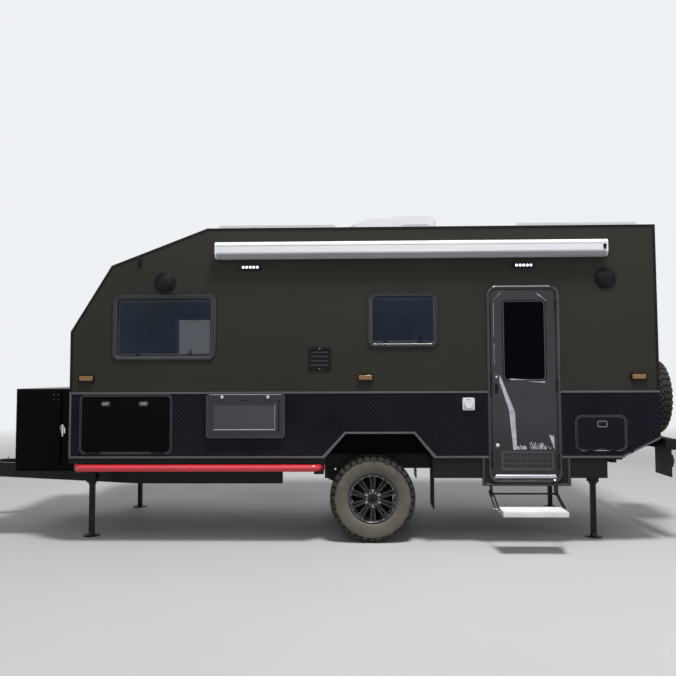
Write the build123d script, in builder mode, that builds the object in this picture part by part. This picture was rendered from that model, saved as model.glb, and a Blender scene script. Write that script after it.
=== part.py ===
"""Single-axle off-road caravan trailer, standing on its corner legs with the entry step out.

The origin is the centre of the coupling's ball cup, on the caravan's centre plane. +X runs back along
the caravan, -Y is the door side, +Z is up. Heights are given above the ground and turned by up().
"""

import os
from collections import namedtuple
from math import atan2, cos, degrees, hypot, pi, radians, sin

from build123d import *

os.makedirs("parts", exist_ok=True)

# Driving sizes in millimetres. X runs back from the ball, heights run up from the ground.
# What stands along a side follows one after another, each with the gap in front of it
body_front = 1620
boot_setback = 99
boot_length = 869
table_setback = 326
table_length = 725
arch_setback = 366
arch_length = 1006
door_setback = 497
door_length = 670
locker_setback = 123
locker_length = 468
tail_margin = 307
half_width = 1150

# Heights of the body, one above another, with the runs of its slopes
floor_height = 790
belt_rise = 612
nose_rise = 566
slope_rise = 622
slope_run = 380
brow_rise = 347
brow_run = 905
tail_rise = 176
tail_run = 351
panel = 36

# Clearances and hinges
seat_gap = 0.3
running_gap = 6
hinge_radius = 6
hinge_pin = 3
hinge_length = 60
hinge_leaf = 14

# Chassis
rail_track = 670
rail_width = 50
rail_depth = 150
cross_depth = 100
member_depth = 50
member_inset = 10
skirt_drop = 185
skirt_sheet = 6
leg_bracket_rise = 60
side_bracket = 60
side_bracket_sheet = 10

# Drawbar and coupling
ball_drop = 65
ball_radius = 25
cup_wall = 16
cup_lift = 8
cup_gap = 0.5
cup_opening = 12
head_half = 38
head_plate = 26
arm_depth = 150
nose_x = 170
nose_half = 70
nose_plate = 12
nose_plate_length = 170
nose_plate_margin = 24
bend_setback = 530
arm_tail = 1418
tie_x = 1180
tie_width = 50
chain_hole_setback = 35
chain_hole_out = 124
chain_hole_radius = 10

# Wheels
tyre_radius = 402
tyre_width = 265
wheel_gap = 132.5
bead_radius = 205
bead_seat = 8
flange_rise = 16
rim_width = 200
rim_sheet = 9
spoke_pairs = 10
spoke_width = 17
spoke_depth = 28
spoke_rise = 14
hub_setback = 44
hub_margin = 18
hub_cap_radius = 50
hub_cap_depth = 14
bolt_circle = 140
nut_radius = 10
bolt_count = 6
lug_count = 30
lug_width = 48
lug_flare = 4
lug_depth = 12
lug_root = 80
lug_row_in = 12
lug_row_out = 112
tyre_sides = 30

# Running gear
axle_setback = 443
swing_arm = 416
swing_arm_half = 32
pivot_drop = 48
hanger_sheet = 14
hanger_half = 46
stub_radius = 26
brake_radius = 150
spring_radius = 62
spring_bulge = 22
shock_radius = 24
shock_rod_radius = 11
shock_setback = 150
shock_lean = 60
flap_sheet = 10
flap_width = 290
flap_clearance = 324

# Wheel arches
arch_front_run = 195
arch_rear_run = 181
arch_rise = 222
arch_depth = 380
arch_sheet = 4

# Front box
box_length = 620
box_inset = 249
box_rise = 790
box_sheet = 4
box_door_front = 34
box_door_rear = 180
box_door_foot = 46
box_door_head = 34
box_door_depth = 22
box_door_corner = 14
box_door_lap = 30
box_hinge_in = 7

# Windows and hatches
window_corner = 66
window_band = 46
window_sill = 38
window_lap = 20
window_proud = 14
pane_thick = 5
pane_back = 4
hatch_rim = 14
hatch_lip = 8
hatch_proud = 8
hatch_hinge_inset = 130

# Lower cladding, and the bright strips round it
cladding_thick = 3
strip_width = 18
strip_proud = 6

# Entry door, its frame and the well below it
door_drop = 228
door_over_belt = 975
door_corner = 90
frame_band = 34
frame_sleeve = 14
frame_proud = 12
door_proud = 8
door_thick = 40
door_window_rise = 720
door_window_corner = 26
handle_width = 46
handle_rise = 218
handle_depth = 18
grille_rise = 171
grille_depth = 8
grille_rim = 14
grille_columns = 20
grille_rows = 3
grille_bar = 7
well_front_margin = 54
well_rear_margin = 70
well_drop = 21
well_depth = 280
well_sheet = 4
well_side = 40

# Entry step
step_margin = 53
step_length = 553
step_tread_depth = 250
step_tread_thick = 44
step_sheet = 4
step_pivot_in = 30
step_pivot_drop = 81
step_arm = 320
step_droop = 20
step_link_offset = 80
step_link_tilt = 6
step_bar_width = 24
step_bar_thick = 6
step_pin = 5
step_shaft = 8
step_bracket_reach = 24
open_pivot_gap = 1

# Fold-down table
table_drop = 24
table_rise = 399
table_thick = 34
table_back = 6
table_corner = 24
table_frame_out = 4
table_frame_in = 34
table_recess = 4
table_gap = 0.5

# Corner legs
leg_front_setback = 93
leg_rear_setback = 511
leg_offset = 113
leg_pivot_drop = 80
leg_outer = 60
leg_inner = 46
leg_outer_length = 90
leg_head = 30
leg_pin = 8
pad_radius = 75
pad_thick = 12
cheek_thick = 8
cheek_half = 45
cheek_drop = 40

# Jockey wheel
jockey_x = 326
jockey_tube = 30
jockey_wall = 5
jockey_slide_gap = 1
jockey_rise = 370
jockey_tube_drop = 158
jockey_stem_rise = 72
jockey_wheel_radius = 100
jockey_wheel_width = 60
jockey_tyre_round = 14
jockey_fork_gap = 6
jockey_fork_plate = 6
fork_heel = 35
fork_toe = 25
fork_foot = 20
jockey_trail = 45
jockey_crown_gap = 15
crown_half = 6
kingpin_radius = 10
jockey_axle = 8
crank_reach = 150
crank_half = 10
crank_knob_radius = 15
crank_knob_rise = 90

# Side rails
side_rail_radius = 33
side_rail_gap = 7
side_rail_proud = 20
side_rail_front = 80
side_rail_rear = 47
side_rail_bend = 70

# Awning and lamps under it
awning_setback = 89
awning_length = 3616
awning_drop = 144
awning_rise = 152
awning_depth = 105
awning_round = 34
awning_cap = 14
awning_groove = 6
led_drop = 56
led_rise = 42
led_half = 100
led_depth = 24

# Rear bumper, its lamp plates and the spare wheel
bumper_gap = 84
bumper_depth = 100
bumper_drop = 116
bumper_rise = 100
bumper_inset = 100
lamp_plate_depth = 250
lamp_plate_width = 350
lamp_plate_sheet = 12
lamp_rise = 110
lamp_width = 290
lamp_base_depth = 26
lamp_lens_depth = 14
lamp_lens_radius = 40
spare_gap = 12.5
spare_rise = 362
post_half = 45
post_over_spare = 110
spare_spigot_radius = 60

# Roof
conditioner_setback = 132
conditioner_length = 918
conditioner_half = 350
conditioner_rise = 278
conditioner_corner = 90
conditioner_slots = 14
conditioner_slot_pitch = 20
conditioner_slot_rise = 130
solar_front_setback = 79
solar_rear_margin = 106
solar_length = 1120
solar_width = 540
solar_inset = 165
solar_rise = 62
solar_thick = 35
solar_foot = 120

# Water tanks
front_tank_setback = 800
front_tank_length = 1060
rear_tank_setback = 99
rear_tank_length = 1260
tank_depth = 78
tank_inset = 85

# Sides: -1 is the door side, 1 the far side
DOOR_SIDE = -1
FAR_SIDE = 1
SIDES = ((DOOR_SIDE, "left"), (FAR_SIDE, "right"))


def span(start, length):
    """A range from its start and its length."""
    return (start, start + length)


def span_to(end, length):
    """A range from its end and its length."""
    return (end - length, end)


def across(side, inner, outer):
    """Y range between two distances from the centre plane, on one side."""
    return tuple(sorted((side * inner, side * outer)))


def grown(run, by):
    """A range made wider by the same amount at both ends."""
    return (run[0] - by, run[1] + by)


# Heights
belt_height = floor_height + belt_rise
nose_height = belt_height + nose_rise
slope_top_height = nose_height + slope_rise
roof_height = slope_top_height + brow_rise
tail_height = floor_height + tail_rise
rail_base = floor_height - rail_depth
arm_base = rail_base - arm_depth
ball_height = rail_base - ball_drop

# Places along the side, from the front wall back
boot_x = span(body_front + boot_setback, boot_length)
table_x = span(boot_x[1] + table_setback, table_length)
arch_x = span(table_x[1] + arch_setback, arch_length)
door_x = span(arch_x[1] + door_setback, door_length)
locker_x = span(door_x[1] + locker_setback, locker_length)
body_rear = locker_x[1] + tail_margin
slope_top_x = body_front + slope_run
roof_front_x = slope_top_x + brow_run
inner_half = half_width - panel
wall_face = half_width + cladding_thick

# Wheels and running gear
flange_radius = bead_radius + flange_rise
hub_radius = bolt_circle / 2 + hub_margin
axle_x = arch_x[0] + axle_setback
wheel_track = rail_track + rail_width / 2 + wheel_gap + tyre_width / 2
wheel_face = wheel_track + rim_width / 2 - hub_setback


def up(height):
    """Z of a height above the ground."""
    return height - ball_height


def block(x, y, z, mode=Mode.ADD):
    """A square block between two corners, z given above the ground."""
    middle = ((x[0] + x[1]) / 2, (y[0] + y[1]) / 2, up((z[0] + z[1]) / 2))
    with Locations(middle):
        Box(x[1] - x[0], y[1] - y[0], z[1] - z[0], mode=mode)


def slab(outline, y, mode=Mode.ADD):
    """An outline of (x, height) corners, carried across a range of Y."""
    with BuildSketch(Plane.XZ.offset(-(y[0] + y[1]) / 2)) as face:
        with BuildLine():
            Polyline(*[(x, up(height)) for x, height in outline], close=True)
        make_face()
    extrude(face.sketch, amount=(y[1] - y[0]) / 2, both=True, mode=mode)


def strip(outline, x, mode=Mode.ADD):
    """An outline of (distance out, height) corners on the door side, carried along X."""
    with BuildSketch(Plane.YZ.offset(x[0])) as face:
        with BuildLine():
            Polyline(*[(DOOR_SIDE * out, up(height)) for out, height in outline], close=True)
        make_face()
    extrude(face.sketch, amount=x[1] - x[0], mode=mode)


def plate(x, z, corner, y, mode=Mode.ADD):
    """A plate with round corners on a side wall, z given above the ground."""
    with BuildSketch(Plane.XZ.offset(-(y[0] + y[1]) / 2)) as face:
        with Locations(((x[0] + x[1]) / 2, up((z[0] + z[1]) / 2))):
            RectangleRounded(x[1] - x[0], z[1] - z[0], corner)
    extrude(face.sketch, amount=(y[1] - y[0]) / 2, both=True, mode=mode)


def rod(start, end, radius, mode=Mode.ADD):
    """A round bar between two points."""
    line = Vector(*end) - Vector(*start)
    with BuildSketch(Plane(origin=start, z_dir=line)) as face:
        Circle(radius)
    extrude(face.sketch, amount=line.length, mode=mode)


def barrel(point, along, moving):
    """One hinge barrel at a point on its axis: the fixed middle, or the moving ends with the pin."""
    middle = Vector(*point)
    way = Vector(*along)
    inner = way * (hinge_length / 2 + seat_gap)
    outer = way * hinge_length
    if moving:
        rod(middle - outer, middle + outer, hinge_pin)
        rod(middle - outer, middle - inner, hinge_radius)
        rod(middle + inner, middle + outer, hinge_radius)
    else:
        rod(middle - way * (hinge_length / 2), middle + way * (hinge_length / 2), hinge_radius)
        rod(middle - outer, middle + outer, hinge_pin + seat_gap, mode=Mode.SUBTRACT)


def moving_leaves():
    """The two stretches of a hinge, from its middle, that the moving leaf holds."""
    return (
        (-hinge_length, -hinge_length / 2 - seat_gap),
        (hinge_length / 2 + seat_gap, hinge_length),
    )


def inset(outline, depth):
    """The outline's corners moved inwards; the outline runs with its inside on the left."""
    moved = []
    count = len(outline)
    for index, (x, z) in enumerate(outline):
        before = outline[index - 1]
        after = outline[(index + 1) % count]
        first = Vector(x - before[0], z - before[1]).normalized()
        second = Vector(after[0] - x, after[1] - z).normalized()
        normal = Vector(-first.Y - second.Y, first.X + second.X)
        share = 1 + first.X * second.X + first.Y * second.Y
        moved.append((x + depth * normal.X / share, z + depth * normal.Y / share))
    return moved


def save(builder, name):
    """Label a finished piece and write its file."""
    builder.part.label = name
    export_step(builder.part, f"parts/{name}.step")


# The body's outline from the side, from the foot of the front wall back along the floor and round
body_outline = [
    (body_front, floor_height),
    (body_rear - tail_run, floor_height),
    (body_rear, tail_height),
    (body_rear, roof_height),
    (roof_front_x, roof_height),
    (slope_top_x, slope_top_height),
    (body_front, nose_height),
]
body_lining = inset(body_outline, panel)

arch_outline = [
    (arch_x[0], floor_height),
    (arch_x[1], floor_height),
    (arch_x[1] - arch_rear_run, floor_height + arch_rise),
    (arch_x[0] + arch_front_run, floor_height + arch_rise),
]

# Windows and hatches: outer size of the frame on the wall, corner radius, and the sides that have one
Opening = namedtuple("Opening", "name x z corner sides")
front_window = Opening(
    "front_window",
    span(slope_top_x + 14, 976),
    span(belt_height + 296, 618),
    window_corner,
    (DOOR_SIDE, FAR_SIDE),
)
middle_window = Opening(
    "middle_window",
    span(arch_x[0] + 403, 654),
    span(belt_height + 407, 513),
    window_corner,
    (DOOR_SIDE, FAR_SIDE),
)
windows = (front_window, middle_window)
boot = Opening("boot_hatch", boot_x, span(floor_height + 39, 551), 50, (DOOR_SIDE, FAR_SIDE))
locker = Opening("rear_hatch", locker_x, span(floor_height + 63, 326), 60, (DOOR_SIDE,))
hatches = (boot, locker)

door_z = (floor_height - door_drop, belt_height + door_over_belt)
door_opening_x = grown(door_x, frame_sleeve - frame_band)
door_opening_top = door_z[1] - frame_band + frame_sleeve
well_x = (door_x[0] - well_front_margin, door_x[1] + well_rear_margin)
well_base = door_z[0] - well_drop

# Body panels between the side walls: each runs from one corner of the outline to the next.
# The floor is laid in boards, with joints at the arches and at the entry well
Panel = namedtuple("Panel", "name first")
panels = [
    Panel("floor", 0),
    Panel("rear_slope", 1),
    Panel("rear_wall", 2),
    Panel("roof", 3),
    Panel("brow_panel", 4),
    Panel("front_slope", 5),
    Panel("front_wall", 6),
]
for shell_panel in panels:
    here = shell_panel.first
    following = (here + 1) % len(body_outline)
    section = [body_outline[here], body_outline[following], body_lining[following], body_lining[here]]
    with BuildPart() as sheet:
        slab(section, (-inner_half, inner_half))
        if shell_panel.name == "floor":
            floor_z = (floor_height, floor_height + panel)
            for side, _ in SIDES:
                block(arch_x, across(side, half_width - arch_depth, half_width), floor_z, mode=Mode.SUBTRACT)
            block(
                grown(well_x, -well_side),
                across(DOOR_SIDE, half_width - well_depth, half_width),
                floor_z,
                mode=Mode.SUBTRACT,
            )
            for joint in (*arch_x, *grown(well_x, -well_side)):
                joint_x = grown((joint, joint), seat_gap / 2)
                block(joint_x, (-inner_half, inner_half), floor_z, mode=Mode.SUBTRACT)
    save(sheet, shell_panel.name)

# Side walls, with their arches, windows, hatches and door cut
for side, side_name in SIDES:
    wall_y = across(side, inner_half, half_width)
    with BuildPart() as wall:
        slab(body_outline, wall_y)
        slab(arch_outline, wall_y, mode=Mode.SUBTRACT)
        for window in windows:
            plate(
                grown(window.x, -window_lap),
                grown(window.z, -window_lap),
                window.corner - window_lap,
                wall_y,
                mode=Mode.SUBTRACT,
            )
        for hatch in hatches:
            if side in hatch.sides:
                plate(
                    grown(hatch.x, -hatch_rim + hatch_lip),
                    grown(hatch.z, -hatch_rim + hatch_lip),
                    hatch.corner - hatch_rim + hatch_lip,
                    wall_y,
                    mode=Mode.SUBTRACT,
                )
        if side == DOOR_SIDE:
            plate(
                door_opening_x,
                (door_z[0], door_opening_top),
                door_corner - frame_band + frame_sleeve,
                wall_y,
                mode=Mode.SUBTRACT,
            )
    save(wall, f"wall_{side_name}")

# Window frames with a flange outside and a sleeve through the wall, and their panes
pane_corner = window_corner - window_sill + 10
with BuildPart() as window_frames:
    for window in windows:
        light_x = grown(window.x, -window_band)
        light_z = grown(window.z, -window_sill)
        for side in window.sides:
            plate(window.x, window.z, window.corner, across(side, half_width, half_width + window_proud))
            plate(
                grown(window.x, -window_lap - seat_gap),
                grown(window.z, -window_lap - seat_gap),
                window.corner - window_lap,
                across(side, inner_half, half_width),
            )
            through = across(side, inner_half, half_width + window_proud)
            plate(light_x, light_z, pane_corner, through, mode=Mode.SUBTRACT)
save(window_frames, "window_frames")

with BuildPart() as window_panes:
    for window in windows:
        for side in window.sides:
            pane_out = half_width + window_proud - pane_back
            plate(
                grown(window.x, -window_band - seat_gap),
                grown(window.z, -window_sill - seat_gap),
                pane_corner,
                across(side, pane_out - pane_thick, pane_out),
            )
save(window_panes, "window_panes")


def cladding_cuts(side, y):
    """Cut the arch, hatches and door out of the lower cladding."""
    slab(arch_outline, y, mode=Mode.SUBTRACT)
    for hatch in hatches:
        if side in hatch.sides:
            plate(hatch.x, hatch.z, hatch.corner, y, mode=Mode.SUBTRACT)
    if side == DOOR_SIDE:
        block(door_x, y, door_z, mode=Mode.SUBTRACT)


# Lower cladding of checker plate between the belt and the floor line, and the bright strips round it
with BuildPart() as lower_cladding:
    for side, _ in SIDES:
        skin_y = across(side, half_width, wall_face)
        slab(body_outline[:3] + [(body_rear, belt_height), (body_front, belt_height)], skin_y)
        cladding_cuts(side, skin_y)
save(lower_cladding, "lower_cladding")

with BuildPart() as trims:
    for side, _ in SIDES:
        trim_y = across(side, wall_face, wall_face + strip_proud)
        foot = span(floor_height, strip_width)
        block((body_front, body_rear), trim_y, span_to(belt_height, strip_width))
        block((body_front, body_rear - tail_run + strip_width), trim_y, foot)
        block(span(body_front, strip_width), trim_y, (floor_height, belt_height))
        slab(
            [
                (body_rear - tail_run, floor_height),
                (body_rear, tail_height),
                (body_rear, tail_height + strip_width),
                (body_rear - tail_run, floor_height + strip_width),
            ],
            trim_y,
        )
        arch_rim = inset(arch_outline, -strip_width)
        slab([(arch_rim[0][0], floor_height), (arch_rim[1][0], floor_height)] + arch_rim[2:], trim_y)
        cladding_cuts(side, trim_y)
save(trims, "trims")

# Steel wheel boxes inside the arches
with BuildPart() as wheel_arches:
    for side, _ in SIDES:
        slab(arch_outline, across(side, half_width - arch_depth, half_width))
        hollow = inset(arch_outline, arch_sheet)
        hollow[0] = (hollow[0][0], floor_height - arch_sheet)
        hollow[1] = (hollow[1][0], floor_height - arch_sheet)
        slab(
            hollow,
            across(side, half_width - arch_depth + arch_sheet, half_width + arch_sheet),
            mode=Mode.SUBTRACT,
        )
save(wheel_arches, "wheel_arches")

# Door frame, door leaf with its vent grille and handle, and the glass of the door
leaf_x = grown(door_x, -frame_band - running_gap)
leaf_z = grown(door_z, -frame_band - running_gap)
leaf_out = half_width + door_proud
leaf_in = leaf_out - door_thick
door_axis = (leaf_x[1] + running_gap / 2, half_width + frame_proud + hinge_radius)
door_hinge_heights = (door_z[0] + 198, belt_height + 48, door_z[1] - 197)
door_window_x = (door_x[0] + 157, door_x[1] - 141)
door_window_z = span_to(door_z[1] - 150, door_window_rise)
handle_x = span(door_x[0] + 58, handle_width)
handle_z = span(belt_height - 54, handle_rise)
grille_x = (door_x[0] + 115, door_x[1] - 79)
grille_z = span(door_z[0] + 119, grille_rise)
with BuildPart() as door_frame:
    plate(door_x, door_z, door_corner, across(DOOR_SIDE, half_width, half_width + frame_proud))
    plate(
        grown(door_opening_x, -seat_gap),
        grown(door_z, -frame_band + frame_sleeve - seat_gap),
        door_corner - frame_band + frame_sleeve,
        across(DOOR_SIDE, inner_half, half_width),
    )
    plate(
        grown(door_x, -frame_band),
        grown(door_z, -frame_band),
        door_corner - frame_band,
        across(DOOR_SIDE, inner_half, half_width + frame_proud),
        mode=Mode.SUBTRACT,
    )
    for height in door_hinge_heights:
        block(
            span(door_axis[0], hinge_leaf),
            across(DOOR_SIDE, half_width + frame_proud, door_axis[1]),
            (height - hinge_length / 2, height + hinge_length / 2),
        )
        barrel((door_axis[0], DOOR_SIDE * door_axis[1], up(height)), (0, 0, 1), False)
save(door_frame, "door_frame")

with BuildPart() as door_leaf:
    leaf_y = across(DOOR_SIDE, leaf_in, leaf_out)
    plate(leaf_x, leaf_z, door_corner - frame_band - running_gap, leaf_y)
    plate(door_window_x, door_window_z, door_window_corner, leaf_y, mode=Mode.SUBTRACT)
    plate(grille_x, grille_z, grille_rim, across(DOOR_SIDE, leaf_out, leaf_out + grille_depth))
    plate(handle_x, handle_z, 12, across(DOOR_SIDE, leaf_out, leaf_out + handle_depth))
    slot_pitch_x = (grille_x[1] - grille_x[0] - 2 * grille_rim) / grille_columns
    slot_pitch_z = (grille_z[1] - grille_z[0] - 2 * grille_rim) / grille_rows
    with BuildSketch(Plane.XZ.offset(leaf_out + grille_depth)) as grille_slots:
        with Locations((sum(grille_x) / 2, up(sum(grille_z) / 2))):
            with GridLocations(slot_pitch_x, slot_pitch_z, grille_columns, grille_rows):
                Rectangle(slot_pitch_x - grille_bar, slot_pitch_z - grille_bar)
    extrude(amount=-grille_depth, mode=Mode.SUBTRACT)
    for height in door_hinge_heights:
        for low, high in moving_leaves():
            block(
                span_to(door_axis[0], hinge_leaf),
                across(DOOR_SIDE, leaf_out, door_axis[1]),
                (height + low, height + high),
            )
        barrel((door_axis[0], DOOR_SIDE * door_axis[1], up(height)), (0, 0, 1), True)
save(door_leaf, "door_leaf")

with BuildPart() as door_glass:
    plate(
        grown(door_window_x, -seat_gap),
        grown(door_window_z, -seat_gap),
        door_window_corner,
        across(DOOR_SIDE, leaf_out - pane_back - pane_thick, leaf_out - pane_back),
    )
save(door_glass, "door_glass")

# Entry step: the pivots of its arms as (distance out, height), and the planes of its plates along X
step_x = span(door_x[0] + step_margin, step_length)
pivot_a = (half_width - step_pivot_in, well_base - step_pivot_drop)
arm_reach = (step_arm * cos(radians(step_droop)), -step_arm * sin(radians(step_droop)))
pivot_b = (pivot_a[0] + arm_reach[0], pivot_a[1] + arm_reach[1])
link_shift = (
    -step_link_offset * cos(radians(step_link_tilt)),
    step_link_offset * sin(radians(step_link_tilt)),
)
link_start = (pivot_a[0] + link_shift[0], pivot_a[1] + link_shift[1])
link_end = (pivot_b[0] + link_shift[0], pivot_b[1] + link_shift[1])
plane_pitch = step_bar_thick + running_gap
StepEnd = namedtuple("StepEnd", "edge outward arm bracket link")
step_ends = []
for edge, outward in ((step_x[0], -1), (step_x[1], 1)):
    sheets = []
    for place in range(3):
        near = edge + outward * (running_gap + place * plane_pitch)
        sheets.append(tuple(sorted((near, near + outward * step_bar_thick))))
    step_ends.append(StepEnd(edge, outward, *sheets))


def outer_face(sheet, outward):
    """The face of a plate's X range that looks away from the step's middle."""
    return sheet[1] if outward > 0 else sheet[0]


def inner_face(sheet, outward):
    """The face of a plate's X range that looks toward the step's middle."""
    return sheet[0] if outward > 0 else sheet[1]


# Sheet-steel well below the door, hung in the floor, with the brackets that carry the step
with BuildPart() as step_well:
    tub_x = grown(well_x, -well_side)
    lip_y = across(DOOR_SIDE, half_width - well_sheet, half_width)
    block(tub_x, across(DOOR_SIDE, half_width - well_depth, half_width), (well_base, floor_height + panel))
    block(
        grown(tub_x, -well_sheet),
        across(DOOR_SIDE, half_width - well_depth + well_sheet, half_width + well_sheet),
        (well_base + well_sheet, floor_height + 2 * panel),
        mode=Mode.SUBTRACT,
    )
    block(well_x, lip_y, (well_base, floor_height))
    block(
        door_opening_x,
        lip_y,
        (door_z[0] + frame_band - frame_sleeve, floor_height),
        mode=Mode.SUBTRACT,
    )
    block(
        tub_x,
        across(DOOR_SIDE, inner_half, half_width + well_sheet),
        (floor_height, floor_height + 2 * panel),
        mode=Mode.SUBTRACT,
    )
    for end in step_ends:
        block(
            end.bracket,
            across(DOOR_SIDE, link_start[0] - step_bracket_reach, pivot_a[0] + step_bracket_reach),
            (pivot_a[1] - step_bracket_reach, well_base),
        )
        link_spot = (DOOR_SIDE * link_start[0], up(link_start[1]))
        arm_spot = (DOOR_SIDE * pivot_a[0], up(pivot_a[1]))
        rod(
            (outer_face(end.bracket, end.outward), *link_spot),
            (outer_face(end.link, end.outward), *link_spot),
            step_pin,
        )
        rod(
            (inner_face(end.arm, end.outward), *arm_spot),
            (outer_face(end.bracket, end.outward), *arm_spot),
            step_shaft + seat_gap,
            mode=Mode.SUBTRACT,
        )
save(step_well, "step_well")


def step_bar(x, start, end, hole_start, hole_end):
    """A flat bar with round ends between two pivots, given as (distance out, height)."""
    middle = ((start[0] + end[0]) / 2, (start[1] + end[1]) / 2)
    length = hypot(end[0] - start[0], end[1] - start[1])
    turn = degrees(atan2(end[1] - start[1], DOOR_SIDE * (end[0] - start[0])))
    with BuildSketch(Plane.YZ.offset(x[0])) as face:
        with Locations(Location((DOOR_SIDE * middle[0], up(middle[1])), turn)):
            SlotCenterToCenter(length, step_bar_width)
        for spot, hole in ((start, hole_start), (end, hole_end)):
            if hole:
                with Locations((DOOR_SIDE * spot[0], up(spot[1]))):
                    Circle(hole, mode=Mode.SUBTRACT)
    extrude(face.sketch, amount=x[1] - x[0])


# The arms share one shaft; the links beside them keep the tread level, their lower pins with some play
with BuildPart() as step_arms:
    for end in step_ends:
        step_bar(end.arm, pivot_a, pivot_b, None, step_pin + seat_gap)
    rod(
        (step_ends[0].bracket[0], DOOR_SIDE * pivot_a[0], up(pivot_a[1])),
        (step_ends[1].bracket[1], DOOR_SIDE * pivot_a[0], up(pivot_a[1])),
        step_shaft,
    )
save(step_arms, "step_arms")

with BuildPart() as step_links:
    for end in step_ends:
        step_bar(end.link, link_start, link_end, step_pin + seat_gap, step_pin + open_pivot_gap)
save(step_links, "step_links")

with BuildPart() as step_tread:
    tread_out = (pivot_b[0] - step_tread_depth / 2, pivot_b[0] + step_tread_depth / 2)
    tread_z = (pivot_b[1] - step_tread_thick / 2, pivot_b[1] + step_tread_thick / 2)
    block(step_x, across(DOOR_SIDE, *tread_out), tread_z)
    block(
        grown(step_x, -step_sheet),
        across(DOOR_SIDE, tread_out[0] + step_sheet, tread_out[1] - step_sheet),
        (tread_z[0] - step_sheet, tread_z[1] - step_sheet),
        mode=Mode.SUBTRACT,
    )
    for end in step_ends:
        for spot, held in ((pivot_b, end.arm), (link_end, end.link)):
            pin_place = (DOOR_SIDE * spot[0], up(spot[1]))
            rod((end.edge, *pin_place), (outer_face(held, end.outward), *pin_place), step_pin)
save(step_tread, "step_tread")


def hatch_axis(hatch):
    """Distance out and height of the hinge line along a hatch's foot."""
    return half_width + hatch_proud + hinge_radius, hatch.z[0] + 2 * hinge_radius


def hatch_hinge_places(hatch):
    """The two places along a hatch's foot where its hinges sit."""
    return hatch.x[0] + hatch_hinge_inset, hatch.x[1] - hatch_hinge_inset


# Hatch leaves, each hung at its foot, and the frames round them
for hatch in hatches:
    for side, side_name in SIDES:
        if side in hatch.sides:
            axis_out, axis_height = hatch_axis(hatch)
            with BuildPart() as hatch_leaf:
                plate(
                    grown(hatch.x, -hatch_rim),
                    grown(hatch.z, -hatch_rim),
                    hatch.corner - hatch_rim,
                    across(side, half_width + hatch_proud - panel, half_width + hatch_proud),
                )
                for x in hatch_hinge_places(hatch):
                    for low, high in moving_leaves():
                        block(
                            (x + low, x + high),
                            across(side, half_width + hatch_proud, axis_out),
                            span(axis_height, hinge_leaf),
                        )
                    barrel((x, side * axis_out, up(axis_height)), (1, 0, 0), True)
            save(hatch_leaf, f"{hatch.name}_{side_name}" if hatch is boot else hatch.name)

table_z = span_to(belt_height - table_drop, table_rise)
with BuildPart() as hatch_frames:
    for hatch in hatches:
        axis_out, axis_height = hatch_axis(hatch)
        for side in hatch.sides:
            plate(hatch.x, hatch.z, hatch.corner, across(side, half_width, half_width + hatch_proud))
            plate(
                grown(hatch.x, -hatch_rim + hatch_lip - seat_gap),
                grown(hatch.z, -hatch_rim + hatch_lip - seat_gap),
                hatch.corner - hatch_rim + hatch_lip,
                across(side, inner_half, half_width),
            )
            plate(
                grown(hatch.x, -hatch_lip),
                grown(hatch.z, -hatch_lip),
                hatch.corner - hatch_lip,
                across(side, inner_half, half_width + hatch_proud),
                mode=Mode.SUBTRACT,
            )
            for x in hatch_hinge_places(hatch):
                block(
                    (x - hinge_length / 2, x + hinge_length / 2),
                    across(side, half_width + hatch_proud, axis_out),
                    (hatch.z[0], axis_height),
                )
                barrel((x, side * axis_out, up(axis_height)), (1, 0, 0), False)
    frame_y = across(DOOR_SIDE, wall_face, wall_face + table_back)
    plate(grown(table_x, table_frame_out), grown(table_z, table_frame_out), table_corner, frame_y)
    plate(
        grown(table_x, -table_frame_in),
        grown(table_z, -table_frame_in),
        table_corner,
        frame_y,
        mode=Mode.SUBTRACT,
    )
save(hatch_frames, "hatch_frames")

# Fold-down table on the door side, hung at its foot, with a sunk panel in its outer face
with BuildPart() as table_leaf:
    table_in = wall_face + table_back + table_gap
    table_out = table_in + table_thick
    plate(table_x, table_z, table_corner, across(DOOR_SIDE, table_in, table_out))
    plate(
        (table_x[0] + 68, table_x[1] - 90),
        (table_z[0] + 75, table_z[1] - 93),
        10,
        across(DOOR_SIDE, table_out - table_recess, table_out),
        mode=Mode.SUBTRACT,
    )
save(table_leaf, "table_leaf")

# Places of the corner legs and of the members across the chassis
leg_front_x = body_front + leg_front_setback
leg_rear_x = body_rear - leg_rear_setback
leg_track = rail_track + leg_offset
leg_pivot_height = rail_base - leg_pivot_drop
member_half = half_width - member_inset
member_in = member_half - rail_width
member_z = span_to(floor_height, member_depth)
rail_out = rail_track + rail_width / 2
skirt_end_x = leg_rear_x + 25
front_tank = span(body_front + front_tank_setback, front_tank_length)
rear_tank = span(arch_x[1] + rear_tank_setback, rear_tank_length)
front_stations = (front_tank[0] - 70, sum(front_tank) / 2, front_tank[1] + 20)
side_rail_x = (body_front + side_rail_front, arch_x[0] - side_rail_rear)
side_rail_height = member_z[0] - side_rail_gap - side_rail_radius

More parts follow.
